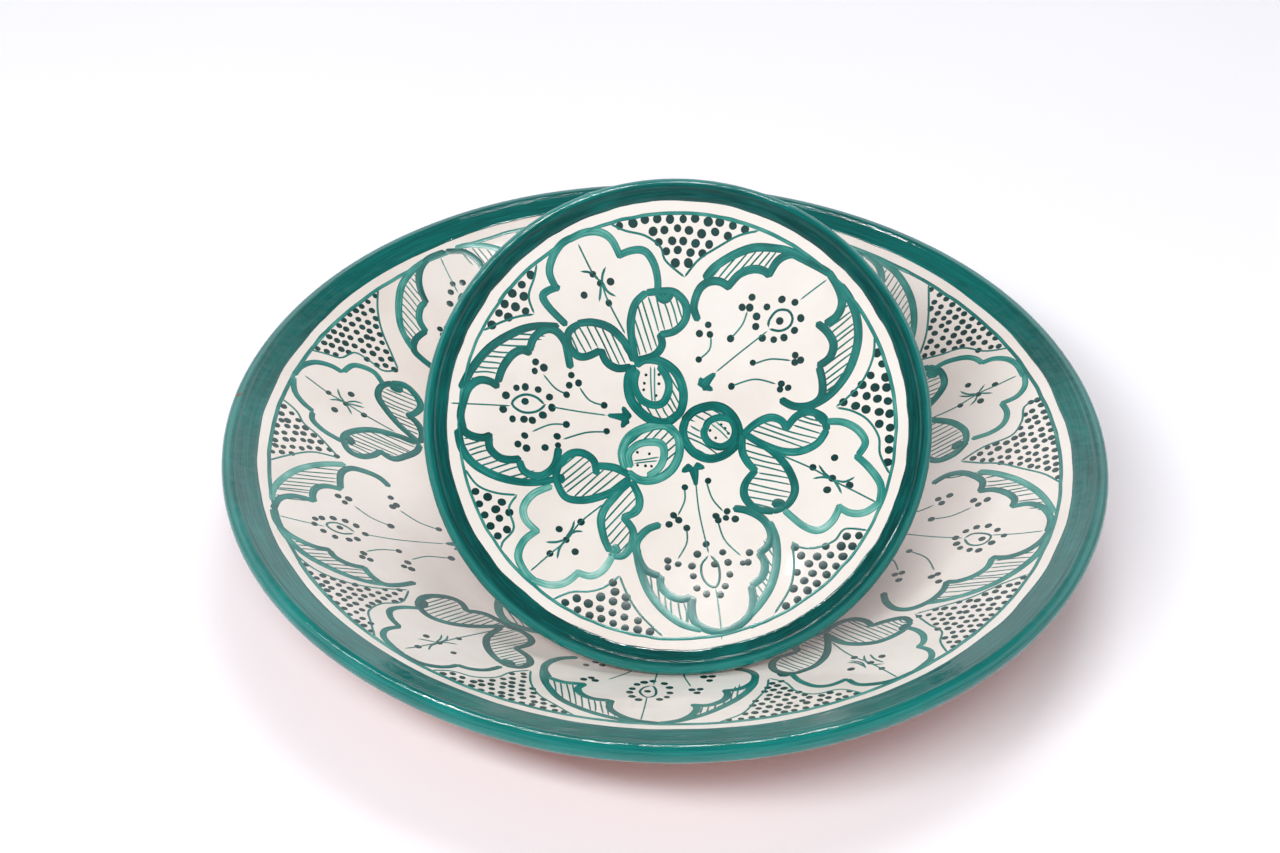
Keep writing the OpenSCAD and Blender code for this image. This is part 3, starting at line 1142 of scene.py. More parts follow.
def bud(paint, outer, inner, degrees, seeds, lines, load=0.85):
    """A round bud: two rings, hatching between them, and seeds inside."""
    half = len(outer) // 2
    paint.stroke("buds", outer[:half + 1], (3.4, 3.8, 3.4), load)
    paint.stroke("buds", outer[half - 1:], (3.2, 3.6, 3.2), load * 0.9)
    paint.stroke("buds", inner, (2.6, 3.2, 2.8), load * 0.86)
    paint.hatch([outer, inner[::-1]], degrees, 2.4)
    paint.dots(seeds, 1.2, shake=0.1)
    for pair in lines:
        paint.line(*pair, width=0.6, load=0.7)


def ring_line(paint, width, load, parts=5):
    """The thin line round the face, drawn in a few overlapping sweeps."""
    radius, hand = paint.plate.line, paint.hand
    for part in range(parts):
        start = math.tau * part / parts + hand.uniform(-0.1, 0.1)
        angles = np.linspace(start, start + math.tau / parts + 0.12, 28)
        drift = [hand.gauss(0, 0.10) for _ in angles]
        points = [((radius + d) * math.cos(a), (radius + d) * math.sin(a))
                  for a, d in zip(angles, drift)]
        paint.stroke("ring_line_strokes", points, width * hand.uniform(0.85, 1.15),
                     load * hand.uniform(0.85, 1.15), shake=0.0)


# %% [markdown]
# ## The small plate's painting
#
# A hand does not repeat itself, so the three palmettes, the three small palmettes
# and the six leaves are drawn one by one, with as few points as each stroke needs.
# The paths are all on the flat plan: x to the right and y away from the viewer, in
# millimetres from the middle of the plate. The order is the painter's order, ring
# line first and dots last, because later strokes lie over earlier ones.

# %% Paint the small plate
side_painting = Painting(small, seed=11)
ring_line(side_painting, 1.35, 0.6)

palmette(side_painting, [
    [(-82, -3), (-83, 2), (-82, 8), (-80, 13), (-76, 16.3), (-72, 16.3), (-69.3, 14.6)],
    [(-68.8, 16.5), (-67.5, 22), (-64, 27.3), (-60, 29.3), (-57, 28.5)],
    [(-57, 29.5), (-55.5, 34.5), (-51.5, 38), (-47, 37.6), (-43.5, 34), (-42, 29), (-41.3, 24.5)],
    [(-83, -1), (-81.3, -4), (-78, -5.8), (-74, -6), (-71.5, -4.6)],
    [(-71.6, -5.5), (-71.4, -9.5), (-68, -13), (-64, -13.8), (-60.3, -13)],
    [(-60.2, -14), (-58.5, -17.7), (-54.5, -19.5), (-50, -18.3), (-46.6, -14), (-45.5, -8)]],
    [([(-83, 12), (-79, 20.5), (-72, 29.5), (-63, 36.3), (-55, 39), (-46, 39.6)], 0.98),
     ([(-84, -3), (-82, -11), (-77, -17), (-69, -20.8), (-60, -22.2), (-52, -21.8),
       (-46.5, -20)], 0.9)],
    [((0, 1), 0, 2), ((3, 4), 1, 22)], load=0.92)
heart(side_painting,
      [(-51, 9), (-54.5, 11.8), (-58.5, 12.4), (-62, 10.8), (-63.6, 8.3), (-61, 6), (-57.5, 5.4),
       (-53.5, 6.6), (-50.6, 9.3)],
      (-58.5, 9.5),
      [(-62, 15), (-58.5, 15.3), (-53.5, 15), (-49.5, 12.5), (-48.5, 8.2), (-51.5, 5),
       (-55.5, 2.5), (-59, 2.6), (-63.5, 2.3), (-67, 6), (-66, 11.8)],
      [[(-87, 6.5), (-76, 7), (-64, 7.6)], [(-49, 8.5), (-38, 7.4), (-27, 6.5)]],
      [[(-27, 6.5), (-22, 6.2), (-18.5, 5.6)], [(-21, 10.3), (-19.5, 7.5), (-18.5, 5)],
       [(-21.3, 1.6), (-20, 4.2), (-18.5, 5.5)]])
stalks(side_painting, [
    ([(-42.5, 13.8), (-47, 15.7), (-52, 21)], [(-55, 25), (-52, 23.6), (-55, 21.7)]),
    ([(-28, 10.3), (-34, 12), (-38, 17)], [(-41, 21), (-38, 18.5), (-41.5, 17.2)]),
    ([(-43, 2), (-49, 1.4), (-56, -2)], [(-58.5, -4), (-61, -7), (-57.5, -7.8)]),
    ([(-27, 0), (-35, -0.6), (-44, -4)], [(-46, -3.3), (-45.5, -6.4), (-51, -7.5)])])

palmette(side_painting, [
    [(7.8, 44), (6.2, 49), (8, 55), (12, 58.3), (16.5, 58.3), (19.8, 56)],
    [(19.5, 56.5), (23.5, 60.5), (29, 62.6), (33, 61.8), (35, 60)],
    [(35, 60), (38.5, 65.5), (43.5, 67.8), (48, 66), (54, 62.5), (58, 60)],
    [(58, 60.5), (61.5, 55), (63, 49), (61.5, 44), (57, 41)],
    [(54, 41), (57.5, 38), (60, 33), (58.5, 28), (54.5, 25.3)],
    [(54.5, 24.5), (56, 19), (55.3, 13), (51, 10), (45, 10.3), (40.3, 13)]],
    [([(10, 59), (14, 63.5), (21, 68), (29, 70.3), (37, 70), (44, 68.5), (53, 63.5)], 0.7),
     ([(62, 56), (66, 50), (68.7, 42), (69, 33), (66, 23), (60, 15), (54, 10.5), (48, 9)], 0.8)],
    [((0, 1, 2), 0, 48), ((3, 4, 5), 1, 36)], load=0.95)
heart(side_painting,
      [(35.2, 40.6), (35.4, 43.5), (38.3, 46.8), (42.5, 46.8), (44.4, 44), (43.2, 40.8),
       (39.5, 39.2), (35.2, 40.2)],
      (39.6, 43),
      [(40, 51), (45.5, 49.5), (47.6, 43.5), (45, 39.5), (41.5, 37), (37.5, 35.8), (32.5, 36.8),
       (30, 41), (31, 44.7), (34.5, 48.6)],
      [[(57.5, 58), (52, 54), (47, 50.5)], [(35, 39.5), (24, 31.5), (15, 24)]],
      [[(15, 24), (12.5, 21.5), (10, 18.6)], [(9, 22.3), (9.5, 20), (9.4, 18.2)],
       [(14, 17), (11.5, 18.3), (9.4, 18.6)]])
stalks(side_painting, [
    ([(20.5, 36.7), (25, 42), (27, 47.5)], [(28.5, 52.5), (25, 48.6), (28, 48.6)]),
    ([(8.3, 29), (12.5, 33), (13, 38)], [(12, 42), (8.5, 39), (12.5, 39)]),
    ([(29.3, 27), (36, 28.7), (44, 27.8)], [(45.5, 29.5), (47.5, 28), (45.5, 26.5)]),
    ([(21, 18.5), (30, 21), (38.5, 19)], [(40, 19), (43.5, 17.5), (40, 16.5)])])

palmette(side_painting, [
    [(-6.3, -37), (-11, -39), (-15, -44), (-14.8, -50), (-11.5, -55.5), (-6.3, -57.6)],
    [(-5.8, -58), (-5.8, -62), (-2.5, -65.8), (2, -67.3), (5.3, -66.3)],
    [(6.5, -66.5), (5.8, -71), (7.5, -76.5), (12, -80), (17, -80.5)],
    [(17, -80.5), (22, -79), (27.5, -74), (29.3, -68), (28.5, -62)],
    [(28.5, -61.5), (32.5, -58), (33.5, -52.5), (31.5, -48.5)],
    [(31.5, -48.5), (35, -45.5), (36, -40), (33, -34.5), (27, -31), (22.5, -30)]],
    [([(-15, -46), (-13.8, -55), (-10.5, -64), (-5, -72), (2, -77.5), (10, -80)], 0.62),
     ([(35, -35.5), (38, -43), (38, -53), (35.5, -62), (31, -70), (25, -76.5), (18, -80.5)],
      0.66)],
    [((0, 1), 0, -83), ((3, 4), 1, -58)], load=0.78)
heart(side_painting,
      [(12.3, -49.2), (9.6, -53), (10, -58), (12.5, -61.5), (15, -62.2), (16.5, -58.5),
       (15.8, -53), (13, -49)],
      (14.6, -53),
      [(11.3, -44.5), (8, -48.6), (17.5, -48), (19.5, -52), (6, -53.5), (20.5, -57),
       (6.7, -58), (8.3, -62.5), (19.3, -62), (11.5, -65.3), (16.7, -65.5)],
      [[(7.5, -19), (9, -32), (12.3, -48.5)], [(15, -62.5), (16.3, -73), (17.2, -84)]],
      [[(7.6, -21), (7.2, -17), (6.4, -13.2)], [(2, -15.4), (4, -14), (6.2, -13)],
       [(11, -13.8), (8.8, -13), (6.6, -12.8)]])
stalks(side_painting, [
    ([(3, -21.5), (3.3, -27), (0.6, -33)], [(-1, -33), (1, -35), (-3, -37)]),
    ([(11.7, -19), (14, -26), (18, -31.3)], [(19.5, -31.5), (15, -33), (19, -34.5), (22.7, -34.3)]),
    ([(4, -38), (4, -44), (0.5, -51)], [(-3, -51), (0.5, -53), (-3, -54.5)]),
    ([(16, -35), (18.5, -43), (25, -49.5)], [(27.3, -48), (25, -52), (27.7, -52)])])


small_palmette(side_painting, [
    [(-44, 41), (-49.5, 46), (-52.5, 50), (-50.5, 52.6), (-47.2, 54)],
    [(-47, 54), (-49.8, 59), (-49, 65), (-45.5, 70.5), (-42, 72.5)],
    [(-42, 72.5), (-37, 75), (-31, 75.5), (-26, 73), (-23, 67.5)],
    [(-22.5, 67.5), (-18, 69.3), (-13, 69.3), (-9.5, 65), (-8, 59), (-8, 54.5)]],
    [(-39, 71), (-33, 60), (-30, 57), (-27, 50), (-20, 38)],
    [[(-38, 60.5), (-34, 60.4), (-30.5, 57.5)], [(-28, 63), (-29.3, 60), (-29.5, 56)],
     [(-29.5, 58), (-27.5, 54), (-24, 52)], [(-30, 57), (-30.3, 53), (-30.5, 49.5)]],
    [(-33, 60.5), (-26, 58), (-30, 56.7), (-36.5, 52), (-27, 49.5)], 0.7)
small_palmette(side_painting, [
    [(57, 3.2), (63, 3), (69, -0.5), (72, -6), (69.8, -10)],
    [(69, -11.5), (73.5, -16), (77.5, -23), (77, -29.5)],
    [(77, -30), (72, -33.5), (66, -33.5), (62, -31)],
    [(62, -31), (59.5, -36.5), (54.5, -40), (48.5, -38), (42, -32)]],
    [(38, -8), (52, -15), (59.5, -20), (66, -24), (76, -30)],
    [[(54.5, -13.5), (56.5, -17), (59.5, -19.7)], [(52, -19.2), (56, -18.6), (60, -20)],
     [(59.5, -19.7), (64, -21), (68, -19.3)], [(59.8, -19.8), (61.5, -22.5), (63, -26)]],
    [(60.5, -11.5), (52, -14.7), (59.3, -19.3), (57.5, -23.7), (66, -23)], 0.45)
small_palmette(side_painting, [
    [(-49, -23.5), (-54.5, -26.5), (-58.5, -32), (-57.5, -37.5), (-53.5, -41.5)],
    [(-53.5, -41.5), (-58, -45.5), (-60.2, -52), (-57.5, -58.5), (-54, -61.5)],
    [(-54, -61.5), (-48, -63), (-42, -61.5), (-37.5, -57.5)],
    [(-37.5, -57.5), (-32.5, -58.8), (-27.5, -55.5), (-24.5, -50)]],
    [(-28, -29), (-37, -37), (-42, -44.5), (-48, -50.5), (-55.5, -58)],
    [[(-39, -36), (-40, -40), (-42.5, -44)], [(-35.5, -40.6), (-39, -41), (-42.5, -44.2)],
     [(-42, -44), (-46, -45.5), (-50, -46)], [(-42.2, -44), (-44.5, -48), (-45.3, -52.5)]],
    [(-45, -40), (-36.5, -37), (-42, -44.5), (-38, -49), (-48, -50.5)], 0.36)

for sides, degrees, blob, load in (
        ([[(-16, 29), (-17.5, 35), (-18, 43), (-16.5, 50), (-12, 54)],
          [(-12, 54), (-6, 54.6), (-1, 54), (3, 50), (3, 44.5), (-1, 40), (-6.5, 38.5)],
          [(-7, 38.5), (-6, 34.5), (-9, 30.5), (-15, 28.5)]], -70,
         [(-8, 54.5), (-5, 52), (-2, 54)], 0.85),
        ([[(-17, 28.5), (-20, 34.5), (-26, 40), (-33, 42), (-38.5, 41)],
          [(-38.5, 41), (-42, 38), (-42.3, 33), (-39, 29.3), (-35, 28.8), (-30, 31.5)],
          [(-29.5, 31.5), (-27.5, 27.5), (-23, 25), (-18, 25.8)]], -62,
         [(-42, 39.5), (-39.5, 38)], 0.92),
        ([[(26, 0), (30.5, 3.8), (36, 6), (40.5, 4.3), (42.3, 1.2)],
          [(42.3, 1.2), (46, 6), (51, 7.5), (56, 5), (57.5, 0)],
          [(57.5, 0), (54, -5), (47.5, -7.8), (40, -7.5), (32, -4), (27, -0.5)]], -21,
         [(53, 7), (56, 4.5), (56.5, 2)], 0.75),
        ([[(25.5, -1), (25.3, -7), (27.5, -12), (30.5, -15)],
          [(30.5, -15), (26.5, -20), (26.5, -25.5), (31, -30.5), (37, -31.5)],
          [(37, -31.5), (42.5, -29), (45.3, -23), (43, -15), (37.5, -8), (31, -3)]], -15,
         [(36, -29), (39.5, -28.6), (42, -31)], 0.78),
        ([[(-18, -17), (-24, -14.3), (-30.5, -14)],
          [(-31, -17), (-32, -12), (-36, -9), (-41, -9.5), (-45.5, -15), (-46.5, -20)],
          [(-46.5, -20), (-43, -26.5), (-36.5, -28), (-28.5, -26), (-22, -22), (-18.5, -18.5)]],
         42, [(-45, -18), (-44, -21.5)], 0.8),
        ([[(-18, -20), (-24, -26), (-28.5, -34), (-28, -42), (-25.5, -48)],
          [(-25, -49.5), (-20.5, -50), (-17, -45), (-17, -39), (-20.5, -34)],
          [(-20.5, -34), (-15.5, -31.5), (-14.2, -26), (-17, -20)]], 50,
         [(-25, -46), (-23, -47.5), (-25, -49)], 0.66)):
    leaf(side_painting, sides, degrees, blob, load)

bud(side_painting,
    [(-16.5, 26.5), (-18.7, 21), (-18, 14), (-14.5, 8.5), (-9, 5), (-3.5, 4.5), (1.3, 8.5),
     (2.6, 16), (0, 23.5), (-6, 28), (-12.5, 28.6), (-16.5, 26)],
    [(-15.5, 25), (-16.3, 19), (-14, 13.5), (-9.5, 11), (-5, 12.4), (-3, 17.5), (-4, 22.5),
     (-7.5, 27)],
    -60, [(-12, 23), (-12.5, 19.5), (-13, 17), (-7, 23), (-7, 19.5), (-8, 15)],
    [[(-10.4, 26.5), (-10.2, 19), (-9.6, 12)], [(-8.8, 26.5), (-8.8, 19), (-8.4, 12)]])
bud(side_painting,
    [(2.6, 4.5), (7, 9.2), (14, 11), (20, 9), (23.6, 3.5), (23.8, -2.5), (20, -8), (13.5, -10),
     (7.5, -8), (3.6, -3.5), (2.4, 1.5), (4, 6)],
    [(10.9, 1), (12.3, 4.6), (16.3, 6.4), (21, 5.4), (23, 1), (21.3, -3.4), (17, -5.3),
     (12.7, -3.8), (10.6, 0), (11.4, 3)],
    -30, [(17.3, 3.7), (18.6, 2), (20, 0.2), (12.8, 1.3), (15, -1.6)],
    [[(13, 4.2), (17, 1), (20.3, -2.4)], [(14.6, 5), (18, 2.4), (21.3, -1)]], 0.95)
bud(side_painting,
    [(-19.5, -14.5), (-21, -8), (-18, -1.5), (-11, 2.5), (-4, 3), (0.4, -1), (1, -8),
     (-2, -14.5), (-8, -18.5), (-14, -18.6), (-19, -15.5)],
    [(-17.5, -14), (-18.5, -9), (-15.5, -5), (-10, -3.6), (-5.6, -4.6), (-5, -9),
     (-7, -14), (-11.5, -17.3)],
    44, [(-15, -7.7), (-10.5, -8.2), (-15, -13), (-12, -13.2), (-9.5, -13.2)],
    [[(-17, -11.2), (-12, -10.4), (-6.5, -9.4)], [(-16.5, -12.2), (-12, -11.6), (-7, -10.8)]],
    0.5)

for start, end in (
        ([(-55, 62.5), (-55.5, 57), (-57.7, 50), (-55.5, 43.5)],
         [(-55.5, 43.5), (-62, 42), (-69, 39), (-75, 35.5)]),
        ([(-27, 79), (-21, 76.5), (-13, 75), (-7, 71), (-5, 66), (2.5, 60)],
         [(2.5, 60), (8, 66.5), (15, 71), (23, 75), (31, 76.8)]),
        ([(75.5, 35.5), (75, 27), (71, 18), (65, 11.8), (61, 8.7)],
         [(61, 8.7), (67, 7), (73, 3), (77, -4), (77.5, -11), (81, -19)]),
        ([(72.5, -41), (64, -40), (60, -44.5), (53, -47), (47, -46.5), (44, -44)],
         [(44, -44), (44.5, -54), (43, -63), (37, -73.5)]),
        ([(-47, -69), (-40, -65.5), (-33, -65), (-27, -63), (-21.5, -58)],
         [(-21.5, -58), (-18.5, -66), (-13.5, -74), (-5, -82.5)]),
        ([(-81, -19), (-76, -25), (-69, -27.5), (-61, -27.5)],
         [(-61, -27.5), (-64, -33), (-62, -41), (-66, -47), (-66.5, -50)])):
    side_painting.dot_field(start, end)

side_painting.finish(brush_green, faces["small"], 0.8)
print("small plate strokes", side_painting.count)

# %% [markdown]
# ## The large plate's painting
#
# The same motifs go round the large plate five times each, drawn more finely for
# their size. Where the small plate covers the middle, the pattern is continued by
# turning motifs that are seen, and five long buds close it at the centre.


# %% Paint the large plate
def turned(item, degrees):
    """A nested list of points, turned about the plate's axis."""
    if isinstance(item[0], (int, float)):
        angle = math.radians(degrees)
        x, y = item
        return (x * math.cos(angle) - y * math.sin(angle),
                x * math.sin(angle) + y * math.cos(angle))
    return [turned(part, degrees) for part in item]


main_painting = Painting(large, seed=5)
ring_line(main_painting, 1.7, 0.66, parts=7)


def large_palmette(lobes, arcs, crescents, eye, pupil, ring, axes, arrow, stems, load,
                   turn=0.0):
    """A whole palmette of the large plate, turned to its place."""
    moved = [turned(p, turn) for p in (lobes, [a[0] for a in arcs], eye, [pupil], ring, axes,
                                       arrow)]
    lobes, paths, eye, pupil, ring, axes, arrow = moved
    arcs = [(path, a[1]) for path, a in zip(paths, arcs)]
    crescents = [(which, index, degrees + turn) for which, index, degrees in crescents]
    palmette(main_painting, lobes, arcs, crescents, load, width=2.9)
    heart(main_painting, eye, pupil[0], ring, axes, arrow, size=2.8)
    stalks(main_painting, [(turned(path, turn), turned(berries, turn))
                           for path, berries in stems])


left_palmette = dict(
    lobes=[[(-110, -5.5), (-114, -2.6), (-120, -1.6), (-125.5, -3), (-128.6, -8), (-128, -17)],
           [(-128, -17.5), (-133, -18.5), (-137, -22), (-137.8, -27), (-136.8, -31)],
           [(-137, -31), (-141, -31), (-146, -32.6), (-150, -37), (-151, -44)],
           [(-151, -45), (-149, -52), (-145, -57), (-139, -60), (-133, -60.7), (-128, -60)],
           [(-128, -60.5), (-125.5, -63.5), (-120, -65.6), (-114.5, -64.5)],
           [(-114.5, -64.5), (-111, -70), (-106, -72.5), (-101, -70), (-95.5, -65)]],
    arcs=[([(-127, -1.5), (-136, -6), (-144, -14), (-150, -24), (-152.6, -33), (-152, -40)], 0.5),
          ([(-148, -54), (-143, -62), (-136, -68.5), (-127, -72.5), (-118, -74.5), (-110, -74),
            (-104, -72)], 0.6)],
    crescents=[((0, 1), 0, 22), ((3, 4), 1, 24)],
    eye=[(-120, -42.5), (-124, -40.3), (-128, -40.5), (-131, -43), (-129, -45.5),
         (-124.5, -46), (-120.2, -43.2)],
    pupil=(-125.5, -42.5),
    ring=[(-135.5, -42), (-132.5, -40), (-128.5, -38), (-124.5, -37), (-120, -38),
          (-116.5, -41.5), (-118.5, -46), (-122, -48.5), (-127, -50), (-132, -48.5),
          (-135.5, -45.7)],
    axes=[[(-149, -47.5), (-140, -46.6), (-131, -45)], [(-116.5, -41.5), (-104, -38), (-86, -31)]],
    arrow=[[(-86, -31), (-82, -29.6), (-78, -28)], [(-80.5, -23.6), (-78.6, -26), (-77.4, -28)],
           [(-82.4, -33.4), (-79.6, -31), (-77.4, -28.4)]],
    stems=[([(-107, -30.3), (-115, -29), (-122, -25)],
            [(-128, -22.5), (-124.5, -22.3), (-125.7, -25)]),
           ([(-89, -23), (-97, -22), (-105, -18)],
            [(-109, -12.5), (-106, -15.5), (-107.5, -17.7)]),
           ([(-103.5, -45.5), (-110, -48.5), (-115, -53)],
            [(-115.5, -54.5), (-115.7, -58), (-112.5, -57.5)]),
           ([(-83, -40), (-92, -43), (-98, -49)], [(-99, -52), (-100, -55), (-97, -55.2)])])
front_palmette = dict(
    lobes=[[(-31.5, -99.3), (-38, -102), (-42, -108), (-43, -114), (-41, -120.5)],
           [(-41, -121), (-36, -123.5), (-31, -124), (-27.5, -123.5)],
           [(-27.5, -124), (-30, -128), (-28.5, -133), (-24, -136.5), (-18, -136.8)],
           [(-17, -137), (-17.6, -144), (-14, -150), (-8, -154.3), (0, -156)],
           [(0, -156), (8, -153), (13, -147), (14.2, -141), (12.5, -138.5)],
           [(12.5, -138.5), (18, -139), (24, -135), (25.6, -129), (24.5, -125)],
           [(24.5, -125.5), (30, -124.5), (35, -119), (36, -112), (33, -107), (29, -105.5)]],
    arcs=[([(-43, -112), (-43, -121), (-40.5, -130), (-35.5, -140), (-27, -147.5),
            (-17, -152.5), (-7, -155.5)], 0.75),
          ([(36, -112), (35.5, -121), (31, -131), (24, -140), (16, -148), (6, -154.5)], 0.7)],
    crescents=[((1, 2, 3), 0, -84), ((4, 5), 1, 82)],
    eye=[(-2.5, -120.5), (-5.5, -123), (-6.8, -127.5), (-4.4, -132), (-1.6, -130.5),
         (-0.8, -126.5), (-1.5, -122.5), (-2.6, -120.4)],
    pupil=(-4.1, -126.6),
    ring=[(-5.5, -117.5), (-1.5, -116), (2, -118.3), (4.5, -122), (4.6, -127.3), (3, -131),
          (0, -133.5), (-7.3, -134.5), (-10, -131.7), (-10.3, -128), (-10, -124.4),
          (-8.3, -120.6)],
    axes=[[(0.6, -88), (0, -102), (-2, -120)], [(-4.2, -132), (-5, -142), (-6.2, -154)]],
    arrow=[[(0.6, -89), (0.6, -84), (0.7, -80.4)], [(-4, -82.8), (-1.4, -81.4), (0.6, -80.2)],
           [(5.2, -83), (2.6, -81.4), (0.8, -80.2)]],
    stems=[([(-8, -100), (-11, -108), (-19, -117)],
            [(-28.5, -119.5), (-25.5, -117), (-23.5, -119.6)]),
           ([(-11, -88), (-13, -95), (-20, -100.5)],
            [(-27.5, -105.3), (-24, -101.6), (-21.5, -104)]),
           ([(9, -100), (9.3, -110), (12, -121)], [(12.5, -124), (15.6, -123.5), (14.5, -127)]),
           ([(12, -88), (14, -98), (17.5, -107)],
            [(16.5, -111.5), (19.8, -111.5), (19, -115.3)])])
right_palmette = dict(
    lobes=[[(108, 6.8), (113, 8.8), (119, 8.2), (124, 4), (126.9, -1), (125.5, -6)],
           [(125.5, -6), (131, -7.6), (136, -12.5), (138, -17.5), (137, -21)],
           [(137, -21.5), (143, -22.6), (148.5, -28), (150.5, -36), (148.8, -43)],
           [(150, -42), (146, -49), (140, -53), (133, -53.6), (127.5, -51)],
           [(127.5, -51.5), (125.5, -57), (120, -61), (114, -62), (110, -60)],
           [(110, -60), (108, -66), (103, -71.5), (96, -74), (90, -71.6), (87, -65),
            (86.4, -58)]],
    arcs=[([(125, 6), (132, 2), (140, -6), (146, -15), (150, -24), (152, -33)], 0.55),
          ([(149, -45), (145, -55), (138, -63), (129, -69), (119, -72.5), (109, -73.5),
            (101, -72.5)], 0.6)],
    crescents=[((0, 1), 0, -13), ((3, 4), 1, -16)],
    eye=[(118, -33.5), (121.4, -31.9), (126, -34), (128, -36.6), (126.4, -39.5), (123, -40.3),
         (119.6, -38), (117.9, -33.2)],
    pupil=(124.5, -36.7),
    ring=[(119, -28.5), (123.7, -28), (127.5, -29.3), (130.8, -33.5), (132.5, -38.3),
          (127.7, -41.2), (122.8, -43.8), (119.5, -42), (116, -39), (114.8, -35.3),
          (115, -31.3)],
    axes=[[(88, -15), (104, -25), (118, -33)], [(128, -36), (138, -40), (147.5, -42.5)]],
    arrow=[[(88, -15), (84.5, -13), (81, -11)], [(85.5, -7.6), (82.6, -8.8), (80.4, -10.8)],
           [(83.5, -18), (81.8, -14.4), (80.6, -11)]],
    stems=[([(106.5, -15), (114, -16.5), (122, -14.5)],
            [(123, -11), (124, -14), (127.8, -12.8)]),
           ([(92, -6), (101, -8), (108, -6.5)], [(109.5, -3.5), (114, -3.3), (110.7, -6.5)]),
           ([(97.5, -32.3), (103.5, -40), (106, -50)],
            [(104.3, -54), (107, -53), (107, -58.5)]),
           ([(86, -28), (91, -36), (92.5, -44)], [(91, -46), (94, -45.8), (92.5, -50.8)])])
large_palmette(**left_palmette, load=0.8)
large_palmette(**front_palmette, load=0.85)
large_palmette(**right_palmette, load=0.82)
large_palmette(**left_palmette, turn=-69.0, load=0.86)
large_palmette(**right_palmette, turn=74.0, load=0.8)

